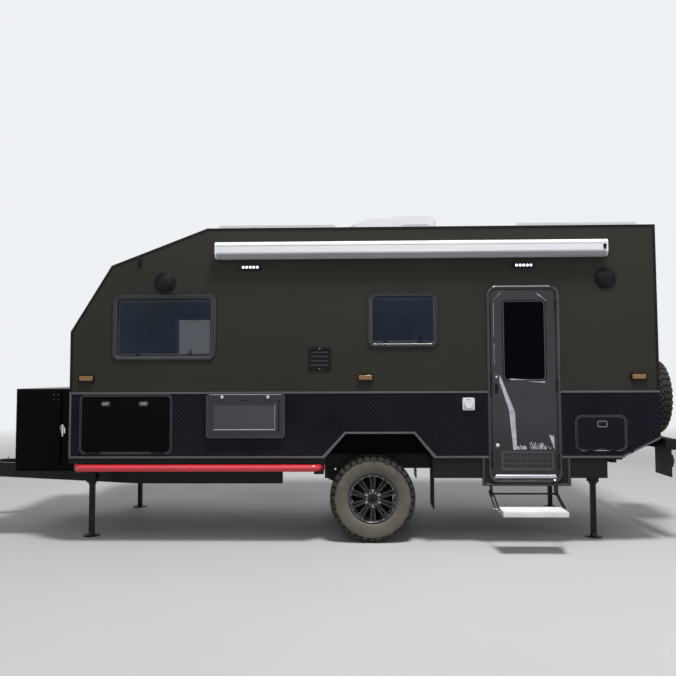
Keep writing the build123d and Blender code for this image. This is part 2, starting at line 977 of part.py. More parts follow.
# Chassis: the two rails, kicked up at the tail, the cross-members between them and the legs' brackets
kick_x = body_rear - tail_run - 125
rail_end_x = body_rear + 4
cross_stations = (
    body_front + 40,
    *front_stations,
    rear_tank[0] - 24,
    rear_tank[1] - 30,
    body_rear - tail_run - 65,
)
with BuildPart() as chassis:
    for side, _ in SIDES:
        slab(
            [
                (body_front, rail_base),
                (kick_x, rail_base),
                (rail_end_x, rail_base + tail_rise + 20),
                (rail_end_x, tail_height),
                (body_rear - tail_run, floor_height),
                (body_front, floor_height),
            ],
            across(side, rail_track - rail_width / 2, rail_out),
        )
        for station in (leg_front_x, leg_rear_x):
            cheek_in = leg_track - leg_outer / 2 - running_gap - cheek_thick
            cheek_out = leg_track + leg_outer / 2 + running_gap + cheek_thick
            head = leg_pivot_height + leg_outer
            bracket_x = grown((station, station), cheek_half)
            block(bracket_x, across(side, rail_track, cheek_out), (head, rail_base + leg_bracket_rise))
            for low in (cheek_in, cheek_out - cheek_thick):
                cheek_y = across(side, low, low + cheek_thick)
                block(bracket_x, cheek_y, (leg_pivot_height - cheek_drop, head))
            rod(
                (station, side * cheek_in, up(leg_pivot_height)),
                (station, side * cheek_out, up(leg_pivot_height)),
                leg_pin,
            )
    for station in cross_stations:
        block(span(station, member_depth), (-rail_track, rail_track), span_to(floor_height, cross_depth))
save(chassis, "chassis")

# Side members along the body's edges, the outriggers that carry them, skirts and the side rails' brackets
outrigger_stations = (
    body_front + 80,
    *front_stations,
    arch_x[0] - 72,
    arch_x[1] + 25,
    well_x[0] - 74,
    well_x[1] + 42,
    skirt_end_x + 50,
)
with BuildPart() as side_members:
    for side, _ in SIDES:
        edge_y = across(side, member_in, member_half)
        skirt_y = across(side, member_half - skirt_sheet, member_half)
        block((body_front, arch_x[0]), edge_y, member_z)
        for station in outrigger_stations:
            block(span(station, member_depth), across(side, rail_out, member_in - seat_gap), member_z)
        rear_runs = [(arch_x[1], skirt_end_x)]
        if side == DOOR_SIDE:
            rear_runs = [(arch_x[1], well_x[0]), (well_x[1], skirt_end_x)]
        for run in rear_runs:
            block(run, edge_y, member_z)
            block(run, skirt_y, (floor_height - skirt_drop, member_z[0] - seat_gap))
        for station in side_rail_x:
            block(
                grown((station, station), side_bracket / 2),
                across(side, member_in - side_bracket_sheet, member_in),
                (side_rail_height - side_bracket * 0.75, member_z[0] - seat_gap),
            )
save(side_members, "side_members")

# A-shaped drawbar, its arms running back under the rails; the nose plate has a hole for each safety chain
bend_x = body_front + bend_setback
arm_end_x = bend_x + arm_tail


def arm_middle(x):
    """Distance of a drawbar arm's middle from the centre plane, ahead of its bend."""
    return nose_half + (rail_track - nose_half) * (x - nose_x) / (bend_x - nose_x)


with BuildPart() as drawbar:
    half = rail_width / 2
    for side, _ in SIDES:
        with BuildSketch(Plane.XY.offset(up(arm_base))) as arm_face:
            with BuildLine():
                Polyline(
                    (nose_x, side * (nose_half - half)),
                    (bend_x, side * (rail_track - half)),
                    (arm_end_x, side * (rail_track - half)),
                    (arm_end_x, side * (rail_track + half)),
                    (bend_x, side * (rail_track + half)),
                    (nose_x, side * (nose_half + half)),
                    close=True,
                )
            make_face()
        extrude(arm_face.sketch, amount=arm_depth)
    chain_plate_half = chain_hole_out + nose_plate_margin
    top_plate_z = span_to(rail_base, nose_plate)
    block(span(nose_x - 20, nose_plate_length), (-chain_plate_half, chain_plate_half), top_plate_z)
    clamp_half = arm_middle(jockey_x)
    for plate_z in (top_plate_z, span(arm_base, nose_plate)):
        block(grown((jockey_x, jockey_x), 2 * jockey_tube), (-clamp_half, clamp_half), plate_z)
    rod((jockey_x, 0, up(arm_base)), (jockey_x, 0, up(rail_base)), jockey_tube + seat_gap, mode=Mode.SUBTRACT)
    tie_half = arm_middle(tie_x + tie_width)
    block(span(tie_x, tie_width), (-tie_half, tie_half), (arm_base + 40, rail_base - 40))
    chain_hole_x = nose_x + chain_hole_setback
    for side, _ in SIDES:
        rod(
            (chain_hole_x, side * chain_hole_out, up(arm_base)),
            (chain_hole_x, side * chain_hole_out, up(rail_base)),
            chain_hole_radius,
            mode=Mode.SUBTRACT,
        )
save(drawbar, "drawbar")

# Ball coupling on the drawbar's nose
with BuildPart() as coupling:
    head_z = span(rail_base, head_plate)
    block((-ball_radius - cup_wall, nose_x + 120), (-head_half, head_half), head_z)
    cup_radius = ball_radius + cup_wall
    with BuildSketch(Plane.XZ) as cup:
        with BuildLine():
            Polyline(
                (0, -cup_opening),
                (cup_radius - 5, -cup_opening),
                (cup_radius, 0),
                (cup_radius, cup_radius / 2),
                (cup_radius * 0.7, cup_radius + 2),
                (0, cup_radius + cup_lift),
                close=True,
            )
        make_face()
    revolve(cup.sketch, axis=Axis.Z)
    block((-30, 60), (-30, 30), (ball_height, head_z[1]))
    with Locations((0, 0, 0)):
        Sphere(ball_radius + cup_gap, mode=Mode.SUBTRACT)
    block((-80, 80), (-60, 60), (ball_height - 60, ball_height - cup_opening), mode=Mode.SUBTRACT)
save(coupling, "coupling")

# Front box on the drawbar, with a door in each end, hung at its front edge
box_front = body_front - box_length
box_half = half_width - box_inset
box_z = span(rail_base, box_rise)
box_door_x = (box_front + box_door_front, body_front - box_door_rear)
box_door_z = (box_z[0] + box_door_foot, box_z[1] - box_door_head)
box_axis = (box_door_x[0] - box_hinge_in, box_half + box_door_depth + 3)
box_hinge_heights = (box_door_z[0] + 134, box_door_z[1] - 134)
with BuildPart() as front_box:
    block((box_front, body_front), (-box_half, box_half), box_z)
    block(
        (box_front + box_sheet, body_front - box_sheet),
        (-box_half + box_sheet, box_half - box_sheet),
        grown(box_z, -box_sheet),
        mode=Mode.SUBTRACT,
    )
    block(
        grown(box_door_x, -box_door_lap),
        (-box_half - box_sheet, box_half + box_sheet),
        grown(box_door_z, -box_door_lap),
        mode=Mode.SUBTRACT,
    )
    for side, _ in SIDES:
        for height in box_hinge_heights:
            block(
                span_to(box_axis[0], hinge_leaf),
                across(side, box_half, box_axis[1]),
                (height - hinge_length / 2, height + hinge_length / 2),
            )
            barrel((box_axis[0], side * box_axis[1], up(height)), (0, 0, 1), False)
save(front_box, "front_box")
for side, side_name in SIDES:
    with BuildPart() as box_door:
        door_in = box_half + seat_gap
        plate(box_door_x, box_door_z, box_door_corner, across(side, door_in, door_in + box_door_depth))
        for height in box_hinge_heights:
            for low, high in moving_leaves():
                block(
                    span(box_axis[0], hinge_leaf),
                    across(side, box_half + box_door_depth / 2, box_axis[1]),
                    (height + low, height + high),
                )
            barrel((box_axis[0], side * box_axis[1], up(height)), (0, 0, 1), True)
    save(box_door, f"box_door_{side_name}")

# Red rails along the sides, each bent in to its brackets on the side member
with BuildPart() as side_rails:
    for side, _ in SIDES:
        flange_y = side * member_in
        rail_y = side * (half_width + side_rail_proud)
        route_z = up(side_rail_height)
        straight_y = rail_y - side * side_rail_bend
        chord = side_rail_bend * (1 - sin(pi / 4))
        with BuildLine() as route:
            Polyline(
                (side_rail_x[0], flange_y, route_z),
                (side_rail_x[0], straight_y, route_z),
                (side_rail_x[0] + chord, rail_y - side * chord, route_z),
                (side_rail_x[0] + side_rail_bend, rail_y, route_z),
                (side_rail_x[1] - side_rail_bend, rail_y, route_z),
                (side_rail_x[1] - chord, rail_y - side * chord, route_z),
                (side_rail_x[1], straight_y, route_z),
                (side_rail_x[1], flange_y, route_z),
            )
        with BuildSketch(Plane(origin=route.line @ 0, z_dir=route.line % 0)) as ring:
            Circle(side_rail_radius)
        sweep(ring.sketch, path=route.line, transition=Transition.RIGHT)
save(side_rails, "side_rails")


# Wheels
rim_half = rim_width / 2


def wheel_frame(centre, outward):
    """Plane whose x runs up from the hub and whose y runs outward along the axle."""
    up_way = Vector(0, 0, 1)
    return Plane(origin=centre, x_dir=up_way, z_dir=up_way.cross(Vector(*outward)))


def face_plane(centre, outward, along):
    """Plane across the wheel at a distance outward from its middle, x up."""
    return Plane(origin=Vector(*centre) + Vector(*outward) * along, x_dir=(0, 0, 1), z_dir=outward)


def lug_outline():
    """Outline of a row of lugs round the tread, as corners across the wheel."""
    corners = []
    top = lug_width / 2
    foot = top + lug_flare / 2
    tread_base = tyre_radius - lug_depth
    for lug in range(lug_count):
        turn = 2 * pi * lug / lug_count
        for rise, side in ((tread_base, -foot), (tyre_radius, -top), (tyre_radius, top), (tread_base, foot)):
            corners.append((rise * cos(turn) - side * sin(turn), rise * sin(turn) + side * cos(turn)))
    return corners


def tyre(centre, outward):
    """A tyre with two staggered rows of lugs on a flat-sided carcass, open inside down to the rim."""
    half = tyre_width / 2
    bead = bead_radius + bead_seat
    profile = (
        (bead + 2, rim_half - 16),
        (flange_radius + 16, half - 18),
        (tyre_radius - 92, half),
        (tyre_radius - lug_depth - 2, half - 18),
    )
    rings = [(radius, -along) for radius, along in profile] + list(reversed(profile))
    sections = []
    for radius, along in rings:
        with BuildSketch(face_plane(centre, outward, along)) as ring:
            RegularPolygon(radius, tyre_sides, major_radius=False)
        sections.append(ring.sketch)
    loft(sections=sections, ruled=True)
    for foot, stagger in ((-lug_row_out, 0), (lug_row_in, 180 / lug_count)):
        with BuildSketch(face_plane(centre, outward, foot)) as row:
            with BuildLine(Location((0, 0, 0), stagger)):
                Polyline(*lug_outline(), close=True)
            make_face()
            Circle(tyre_radius - lug_root, mode=Mode.SUBTRACT)
        extrude(row.sketch, amount=lug_row_out - lug_row_in)
    with BuildSketch(face_plane(centre, outward, -half)) as hole:
        RegularPolygon(bead, tyre_sides, major_radius=False)
    extrude(hole.sketch, amount=tyre_width, mode=Mode.SUBTRACT)


rim_seat = bead_radius + bead_seat - seat_gap
hub_back = rim_half - hub_setback
hub_front = hub_back + spoke_depth


def spoke_web(centre, outward):
    """Ten pairs of split spokes, dished in from the rim's seat to a bolted hub."""
    with BuildPart() as web:
        with BuildSketch(face_plane(centre, outward, hub_back)) as face:
            Circle(hub_radius)
            with PolarLocations(0, spoke_pairs):
                for shift in (-1, 1):
                    spot = ((hub_radius + rim_seat) / 2, shift * spoke_width * 0.9)
                    with Locations(Location(spot, shift * 3.5)):
                        Rectangle(rim_seat - hub_radius + 22, spoke_width)
            Circle(rim_seat, mode=Mode.INTERSECT)
        extrude(face.sketch, amount=spoke_depth + spoke_rise)
        with BuildSketch(wheel_frame(centre, outward)) as dish:
            with BuildLine():
                Polyline(
                    (hub_radius, hub_front),
                    (0, hub_front),
                    (0, hub_back),
                    (hub_radius, hub_back),
                    (rim_seat, hub_back + spoke_rise),
                    (rim_seat, hub_front + spoke_rise),
                    ((hub_radius + rim_seat) / 2, hub_front + spoke_rise / 5),
                    close=True,
                )
            make_face()
        revolve(dish.sketch, axis=Axis(centre, outward), mode=Mode.INTERSECT)
        with BuildSketch(face_plane(centre, outward, hub_front)) as cap:
            Circle(hub_cap_radius)
            with PolarLocations(bolt_circle / 2, bolt_count):
                RegularPolygon(nut_radius, 6)
        extrude(cap.sketch, amount=hub_cap_depth)
    return web.part


def rim_barrel(centre, outward):
    """The rim's barrel with its two flanges, the outer one deeper."""
    with BuildSketch(wheel_frame(centre, outward)) as section:
        with BuildLine():
            Polyline(
                (flange_radius, -rim_half - 4),
                (rim_seat, -rim_half + 15),
                (rim_seat, rim_half - 15),
                (flange_radius, rim_half + 6),
                (rim_seat - rim_sheet, rim_half + 2),
                (rim_seat - rim_sheet, -rim_half - 4),
                close=True,
            )
        make_face()
    revolve(section.sketch, axis=Axis(centre, outward))


bumper_x = span(body_rear + bumper_gap, bumper_depth)
bumper_z = span(tail_height - bumper_drop, bumper_rise)
bumper_half = half_width - bumper_inset
spare_x = bumper_x[1] + spare_gap + tyre_width / 2
spare_height = bumper_z[1] + spare_rise
Wheel = namedtuple("Wheel", "tyre_name rim_name centre outward")
wheels = [
    Wheel(f"tyre_{name}", f"rim_{name}", (axle_x, side * wheel_track, up(tyre_radius)), (0, side, 0))
    for side, name in SIDES
]
wheels.append(Wheel("spare_tyre", "spare_rim", (spare_x, 0, up(spare_height)), (1, 0, 0)))
for wheel in wheels:
    with BuildPart() as wheel_tyre:
        tyre(wheel.centre, wheel.outward)
    save(wheel_tyre, wheel.tyre_name)
    spokes = spoke_web(wheel.centre, wheel.outward)
    with BuildPart() as wheel_rim:
        rim_barrel(wheel.centre, wheel.outward)
        add(spokes)
    save(wheel_rim, wheel.rim_name)

# Trailing arms under the rails, with their hangers, stub axles, brake backplates and shock absorbers
arm_pivot = (axle_x - swing_arm, rail_base - pivot_drop)
with BuildPart() as suspension:
    for side, _ in SIDES:
        slab(
            [
                (arm_pivot[0] - 40, arm_pivot[1] - 40),
                (axle_x - 60, tyre_radius - 46),
                (axle_x + 70, tyre_radius - 46),
                (axle_x + 70, tyre_radius + 40),
                (axle_x - 70, tyre_radius + 40),
                (arm_pivot[0] + 40, arm_pivot[1] + 34),
                (arm_pivot[0] - 40, arm_pivot[1] + 34),
            ],
            across(side, rail_track - swing_arm_half, rail_track + swing_arm_half),
        )
        hanger_x = grown((arm_pivot[0], arm_pivot[0]), hanger_half)
        for low in (-swing_arm_half - hanger_sheet, swing_arm_half):
            hanger_y = across(side, rail_track + low, rail_track + low + hanger_sheet)
            block(hanger_x, hanger_y, (arm_pivot[1] - hanger_half, rail_base))
        rod(
            (axle_x, side * rail_track, up(tyre_radius)),
            (axle_x, side * (wheel_face - seat_gap), up(tyre_radius)),
            stub_radius,
        )
        backplate = wheel_track - rim_half
        rod(
            (axle_x, side * (backplate - 10), up(tyre_radius)),
            (axle_x, side * (backplate + 60), up(tyre_radius)),
            brake_radius,
        )
        shock_y = side * (rail_track + swing_arm_half + shock_radius)
        lower_eye = (axle_x - shock_setback, shock_y, up(tyre_radius + 30))
        upper_eye = (lower_eye[0] - shock_lean, shock_y, up(rail_base + rail_depth / 3))
        middle = tuple((low + high) / 2 for low, high in zip(lower_eye, upper_eye))
        rod(lower_eye, middle, shock_rod_radius)
        rod(middle, upper_eye, shock_radius)
        for eye in (lower_eye, upper_eye):
            rod((eye[0], side * rail_out, eye[2]), eye, shock_rod_radius)
save(suspension, "suspension")

with BuildPart() as air_springs:
    for side, _ in SIDES:
        seat = tyre_radius + 40
        fold = (rail_base - seat) / 2
        spring_plane = Plane(origin=(axle_x, side * rail_track, up(seat)), x_dir=(1, 0, 0), z_dir=(0, -1, 0))
        with BuildSketch(spring_plane) as bellows:
            with BuildLine():
                Polyline(
                    (0, 0),
                    (spring_radius, 0),
                    (spring_radius + spring_bulge, fold * 0.3),
                    (spring_radius + spring_bulge, fold * 0.7),
                    (spring_radius, fold),
                    (spring_radius + spring_bulge, fold * 1.3),
                    (spring_radius + spring_bulge, fold * 1.7),
                    (spring_radius, 2 * fold),
                    (0, 2 * fold),
                    close=True,
                )
            make_face()
        revolve(bellows.sketch, axis=Axis((axle_x, side * rail_track, 0), (0, 0, 1)))
save(air_springs, "air_springs")

# Mudflaps behind the wheels
with BuildPart() as mudflaps:
    for side, _ in SIDES:
        flap_y = across(side, member_half - flap_width, member_half)
        block(span_to(arch_x[1], flap_sheet), flap_y, (flap_clearance, floor_height))
save(mudflaps, "mudflaps")

# Water tanks between the rails, hung under the cross-members
with BuildPart() as water_tanks:
    tank_half = rail_track - rail_width / 2 - tank_inset
    for run in (front_tank, rear_tank):
        block(run, (-tank_half, tank_half), span_to(floor_height - cross_depth, tank_depth))
save(water_tanks, "water_tanks")

# Rear bumper with its lamp plates, tail lamps, and the carrier of the spare wheel
lamp_plate_x = span(bumper_x[0] + 40, lamp_plate_sheet)
with BuildPart() as rear_bumper:
    block(bumper_x, (-bumper_half, bumper_half), bumper_z)
    for side, _ in SIDES:
        block((rail_end_x, bumper_x[0]), across(side, rail_track - rail_width / 2, rail_out), bumper_z)
        plate_y = across(side, bumper_half - lamp_plate_width, bumper_half)
        block(lamp_plate_x, plate_y, span_to(bumper_z[0], lamp_plate_depth))
save(rear_bumper, "rear_bumper")

with BuildPart() as tail_lamps:
    lamp_z = span_to(bumper_z[0] - 50, lamp_rise)
    lamp_face = lamp_plate_x[1] + lamp_base_depth
    for side, _ in SIDES:
        lamp_y = across(side, bumper_half - 30 - lamp_width, bumper_half - 30)
        block((lamp_plate_x[1], lamp_face), lamp_y, lamp_z)
        with BuildSketch(Plane.YZ.offset(lamp_face)) as lenses:
            with Locations((sum(lamp_y) / 2, up(sum(lamp_z) / 2))):
                with GridLocations(lamp_width / 3, lamp_rise, 3, 1):
                    Circle(lamp_lens_radius)
        extrude(lenses.sketch, amount=lamp_lens_depth)
save(tail_lamps, "tail_lamps")

with BuildPart() as spare_carrier:
    post_x = (lamp_plate_x[0] - 20, bumper_x[1])
    block(post_x, (-post_half, post_half), (bumper_z[1], spare_height + post_over_spare))
    rod((bumper_x[1], 0, up(spare_height)), (spare_x + hub_back, 0, up(spare_height)), spare_spigot_radius)
save(spare_carrier, "spare_carrier")

# Awning cassette: a rounded case with a groove along its face and its lead rail below, and two end caps
awning_x = span(roof_front_x + awning_setback, awning_length)
awning_z = span_to(roof_height - awning_drop, awning_rise)
awning_out = half_width + awning_depth


def awning_outline(face_out, grooved):
    """Outline of the cassette across its length, its face at a distance out, with or without a groove."""
    top = awning_z[1]
    base = awning_z[0]
    shoulder = top - awning_round
    groove_z = span_to(top - awning_rise / 4, awning_groove)
    corners = [(half_width, base), (half_width, top), (face_out - awning_round, top)]
    Polyline(*[(DOOR_SIDE * out, up(height)) for out, height in corners])
    ThreePointArc(
        (DOOR_SIDE * (face_out - awning_round), up(top)),
        (DOOR_SIDE * (face_out - awning_round * 0.3), up(top - awning_round * 0.3)),
        (DOOR_SIDE * face_out, up(shoulder)),
    )
    face = [(face_out, shoulder)]
    if grooved:
        face += [
            (face_out, groove_z[1]),
            (face_out - awning_groove, groove_z[1]),
            (face_out - awning_groove, groove_z[0]),
            (face_out, groove_z[0]),
        ]
    face += [(face_out, base + 34), (face_out - 12, base + 22), (face_out - 26, base), (half_width, base)]
    Polyline(*[(DOOR_SIDE * out, up(height)) for out, height in face])


with BuildPart() as awning:
    with BuildSketch(Plane.YZ.offset(awning_x[0] + awning_cap)) as case_face:
        with BuildLine():
            awning_outline(awning_out - 3, True)
        make_face()
    extrude(case_face.sketch, amount=awning_length - 2 * awning_cap)
    for cap_x in (awning_x[0], awning_x[1] - awning_cap):
        with BuildSketch(Plane.YZ.offset(cap_x)) as cap_face:
            with BuildLine():
                awning_outline(awning_out, False)
            make_face()
        extrude(cap_face.sketch, amount=awning_cap)
save(awning, "awning")

# Amber marker lamps
marker_x = (body_front + 157, arch_x[0] + 380, body_rear - 186)
with BuildPart() as marker_lamps:
    for side, _ in SIDES:
        for x in marker_x:
            lens_y = across(side, half_width, half_width + 22)
            plate(grown((x, x), 70), span(belt_height + 88, 70), 18, lens_y)
save(marker_lamps, "marker_lamps")

# Fittings on the door side: two domed vents, a louvre, two lamps under the awning and the power inlet
Dome = namedtuple("Dome", "x z radius depth")
domes = (
    Dome(front_window.x[0] + 494, front_window.z[1] + 115, 102, 34),
    Dome(body_rear - 466, roof_height - 494, 100, 34),
)
louvre_x = span(arch_x[0] - 148, 210)
louvre_z = span(belt_height + 199, 208)
louvre_proud = 12
louvre_rim = 24
louvre_slats = 4
inlet_x = span_to(door_x[0] - 122, 107)
inlet_z = span_to(belt_height - 65, 110)
inlet_plate = 12
inlet_cap = (42, 30)
with BuildPart() as wall_fittings:
    for dome in domes:
        side_plane = Plane(origin=(dome.x, -half_width, up(dome.z)), x_dir=(1, 0, 0), z_dir=(0, 0, -1))
        with BuildSketch(side_plane) as dome_section:
            with BuildLine():
                Polyline(
                    (0, dome.depth),
                    (0, 0),
                    (dome.radius, 0),
                    (dome.radius, 8),
                    (dome.radius - 12, 12),
                    (dome.radius - 18, 12),
                    (dome.radius * 0.7, dome.depth * 0.6),
                    (dome.radius * 0.5, dome.depth * 0.82),
                    (dome.radius * 0.25, dome.depth * 0.96),
                    close=True,
                )
            make_face()
        revolve(dome_section.sketch, axis=Axis((dome.x, 0, up(dome.z)), (0, 1, 0)))
    plate(louvre_x, louvre_z, 8, across(DOOR_SIDE, half_width, half_width + louvre_proud))
    louvre_light_z = grown(louvre_z, -louvre_rim)
    block(
        grown(louvre_x, -louvre_rim),
        across(DOOR_SIDE, half_width + 3, half_width + louvre_proud),
        louvre_light_z,
        mode=Mode.SUBTRACT,
    )
    slat_pitch = (louvre_light_z[1] - louvre_light_z[0]) / louvre_slats
    for slat in range(louvre_slats):
        foot = louvre_light_z[0] + slat * slat_pitch
        strip(
            [
                (half_width + 3, foot + slat_pitch * 0.9),
                (half_width + 3, foot + slat_pitch * 0.7),
                (half_width + louvre_proud, foot + slat_pitch * 0.15),
                (half_width + louvre_proud, foot + slat_pitch * 0.35),
            ],
            grown(louvre_x, -louvre_rim),
        )
    for x in (awning_x[0] + 320, awning_x[1] - 752):
        led_y = across(DOOR_SIDE, half_width, half_width + led_depth)
        plate(grown((x, x), led_half), span_to(awning_z[0] - led_drop, led_rise), 10, led_y)
    plate(inlet_x, inlet_z, 10, across(DOOR_SIDE, wall_face, wall_face + inlet_plate))
    inlet_middle = (sum(inlet_x) / 2, up(sum(inlet_z) / 2))
    cap_radius, cap_proud = inlet_cap
    rod(
        (inlet_middle[0], -wall_face, inlet_middle[1]),
        (inlet_middle[0], -wall_face - cap_proud, inlet_middle[1]),
        cap_radius,
    )
save(wall_fittings, "wall_fittings")

# Roof air conditioner: a low nose, a higher tail with slots along its sides, and round corners
solar_x = (roof_front_x + solar_front_setback, body_rear - solar_rear_margin - solar_length)
conditioner_x = span(solar_x[0] + solar_length + conditioner_setback, conditioner_length)
with BuildPart() as air_conditioner:
    top = roof_height + conditioner_rise
    front_x, rear_x = conditioner_x
    slab(
        [
            (front_x, roof_height),
            (rear_x, roof_height),
            (rear_x, top - 60),
            (rear_x - 35, top),
            (front_x + 460, top),
            (front_x + 440, top - 25),
            (front_x + 200, top - 25),
            (front_x, top - 100),
        ],
        (-conditioner_half, conditioner_half),
    )
    with BuildSketch(Plane.XY.offset(up(roof_height))) as plan:
        with Locations((sum(conditioner_x) / 2, 0)):
            RectangleRounded(conditioner_length, 2 * conditioner_half, conditioner_corner)
    extrude(plan.sketch, amount=conditioner_rise, mode=Mode.INTERSECT)
    for side, _ in SIDES:
        for slot in range(conditioner_slots):
            slot_x = rear_x - conditioner_corner - slot * conditioner_slot_pitch
            block(
                span_to(slot_x, conditioner_slot_pitch / 2),
                across(side, conditioner_half - 8, conditioner_half),
                span(roof_height + 60, conditioner_slot_rise),
                mode=Mode.SUBTRACT,
            )
save(air_conditioner, "air_conditioner")

# Solar panels, each on a mount along both its short ends
with BuildPart() as solar_panels:
    for side, _ in SIDES:
        panel_y = across(side, half_width - solar_inset - solar_width, half_width - solar_inset)
        panel_z = span_to(roof_height + solar_rise, solar_thick)
        for start in solar_x:
            block(span(start, solar_length), panel_y, panel_z)
            for foot_x in (start, start + solar_length - solar_foot):
                block(span(foot_x, solar_foot), panel_y, (roof_height, panel_z[0]))
save(solar_panels, "solar_panels")

# Corner legs, each a square tube with a smaller one in its foot and a round pad
for leg_name, leg_x in (("front", leg_front_x), ("rear", leg_rear_x)):
    for side, side_name in SIDES:
        leg_y = side * leg_track
        leg_top = leg_pivot_height + leg_head
        foot_z = leg_top - leg_outer_length
        with BuildPart() as leg:
            for width, heights in ((leg_outer, (foot_z, leg_top)), (leg_inner, (pad_thick, foot_z))):
                block(grown((leg_x, leg_x), width / 2), grown((leg_y, leg_y), width / 2), heights)
            rod((leg_x, leg_y, up(0)), (leg_x, leg_y, up(pad_thick)), pad_radius)
            rod(
                (leg_x, leg_y - leg_outer, up(leg_pivot_height)),
                (leg_x, leg_y + leg_outer, up(leg_pivot_height)),
                leg_pin + seat_gap,
                mode=Mode.SUBTRACT,
            )
        save(leg, f"leg_{leg_name}_{side_name}")

# Jockey wheel: a tube through the drawbar, the stem that slides in it, and the wheel in its fork
jockey_top = rail_base + jockey_rise
jockey_foot = rail_base - jockey_tube_drop
jockey_bore = jockey_tube - jockey_wall
crown_height = 2 * jockey_wheel_radius + jockey_crown_gap
wheel_x = jockey_x - jockey_trail
with BuildPart() as jockey_outer:
    rod((jockey_x, 0, up(jockey_foot)), (jockey_x, 0, up(jockey_top)), jockey_tube)
    rod(
        (jockey_x, 0, up(jockey_foot - 10)),
        (jockey_x, 0, up(jockey_top - 12)),
        jockey_bore,
        mode=Mode.SUBTRACT,
    )
    crank_top = jockey_top + 50
    knob_x = jockey_x - crank_reach + crank_half
    rod((jockey_x, 0, up(jockey_top)), (jockey_x, 0, up(crank_top)), crank_half)
    block(
        (jockey_x - crank_reach, jockey_x + crank_half),
        (-crank_half, crank_half),
        span_to(crank_top, 2 * crank_half),
    )
    rod((knob_x, 0, up(crank_top)), (knob_x, 0, up(crank_top + crank_knob_rise)), crank_knob_radius)
save(jockey_outer, "jockey_outer")

with BuildPart() as jockey_stem:
    stem_base = crown_height + crown_half + 0.5
    stem_top = rail_base + jockey_stem_rise
    rod((jockey_x, 0, up(stem_base)), (jockey_x, 0, up(stem_top)), jockey_bore - jockey_slide_gap)
    rod((jockey_x, 0, up(crown_height - crown_half)), (jockey_x, 0, up(stem_base)), kingpin_radius)
save(jockey_stem, "jockey_stem")

with BuildPart() as jockey_fork:
    fork_in = jockey_wheel_width / 2 + jockey_fork_gap
    fork_out = fork_in + jockey_fork_plate
    crown_z = (crown_height - crown_half, crown_height + crown_half)
    block((wheel_x - fork_toe, jockey_x + fork_heel), (-fork_out, fork_out), crown_z)
    for side, _ in SIDES:
        slab(
            [
                (wheel_x - fork_toe, crown_height),
                (wheel_x - fork_foot, jockey_wheel_radius - fork_foot),
                (wheel_x + fork_foot, jockey_wheel_radius - fork_foot),
                (jockey_x + fork_heel, crown_height),
            ],
            across(side, fork_in, fork_out),
        )
    axle_z = up(jockey_wheel_radius)
    rod((wheel_x, -fork_out, axle_z), (wheel_x, fork_out, axle_z), jockey_axle)
    rod(
        (jockey_x, 0, up(crown_height - 2 * crown_half)),
        (jockey_x, 0, up(crown_height + 2 * crown_half)),
        kingpin_radius + seat_gap,
        mode=Mode.SUBTRACT,
    )
save(jockey_fork, "jockey_fork")

with BuildPart() as jockey_wheel:
    half = jockey_wheel_width / 2
    rod((wheel_x, -half, axle_z), (wheel_x, half, axle_z), jockey_wheel_radius)
    chamfer(jockey_wheel.edges().filter_by(GeomType.CIRCLE), jockey_tyre_round)
    rod((wheel_x, -half, axle_z), (wheel_x, half, axle_z), jockey_axle + seat_gap, mode=Mode.SUBTRACT)
save(jockey_wheel, "jockey_wheel")
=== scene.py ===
"""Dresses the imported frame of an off-road caravan with its finishes, fittings, lights and camera."""

import logging
import random
from dataclasses import dataclass
from enum import Enum
from itertools import product
from math import copysign, cos, pi, radians, sin

import bmesh
import bpy
from mathutils import Matrix, Vector


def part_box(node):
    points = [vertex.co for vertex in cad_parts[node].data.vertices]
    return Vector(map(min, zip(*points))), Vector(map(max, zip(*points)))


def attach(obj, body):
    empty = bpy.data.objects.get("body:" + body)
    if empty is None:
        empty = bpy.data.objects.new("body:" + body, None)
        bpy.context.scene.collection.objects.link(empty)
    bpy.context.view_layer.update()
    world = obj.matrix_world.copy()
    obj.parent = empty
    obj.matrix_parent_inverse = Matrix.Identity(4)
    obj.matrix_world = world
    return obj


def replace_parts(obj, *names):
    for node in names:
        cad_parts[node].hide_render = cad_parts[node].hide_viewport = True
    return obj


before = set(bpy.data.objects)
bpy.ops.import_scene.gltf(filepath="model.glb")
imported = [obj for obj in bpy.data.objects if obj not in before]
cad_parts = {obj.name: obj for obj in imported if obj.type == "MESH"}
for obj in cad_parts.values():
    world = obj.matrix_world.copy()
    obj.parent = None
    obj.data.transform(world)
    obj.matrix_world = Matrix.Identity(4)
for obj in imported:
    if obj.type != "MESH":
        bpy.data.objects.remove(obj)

Point = tuple[float, float, float]
Pair = tuple[float, float]
Colour = tuple[float, float, float]
Face = tuple[int, ...]
Socket = bpy.types.NodeSocket
Outputs = bpy.types.bpy_prop_collection

BALL_HEIGHT = 0.575
HALF_WIDTH = 1.150
WALL_FACE = 1.153
LEAF_FACE = 1.158
CLADDING_JOINT_X = 4.079
DOOR_SIDE = -1
FAR_SIDE = 1
SIDES = ((DOOR_SIDE, "left"), (FAR_SIDE, "right"))
DOORWARD = (0, DOOR_SIDE, 0)
UPWARD = (0, 0, 1)
REARWARD = (1, 0, 0)

log = logging.getLogger("caravan")


def up(height: float) -> float:
    """Z of a height above the ground."""
    return height - BALL_HEIGHT


def levels(low: float, high: float) -> Pair:
    """Z range between two heights above the ground."""
    return (up(low), up(high))


def about(middle: float, half: float) -> Pair:
    """A range that reaches as far to both sides of its middle."""
    return (middle - half, middle + half)


def spread(side: int, inner: float, outer: float) -> Pair:
    """Y range between two distances from the centre plane, on one side."""
    return (min(side * inner, side * outer), max(side * inner, side * outer))


def proud(side: int, face: float, rise: float) -> Pair:
    """Y range of something that stands proud of a face, its root a millimetre inside it."""
    return spread(side, face - 0.001, face + rise)


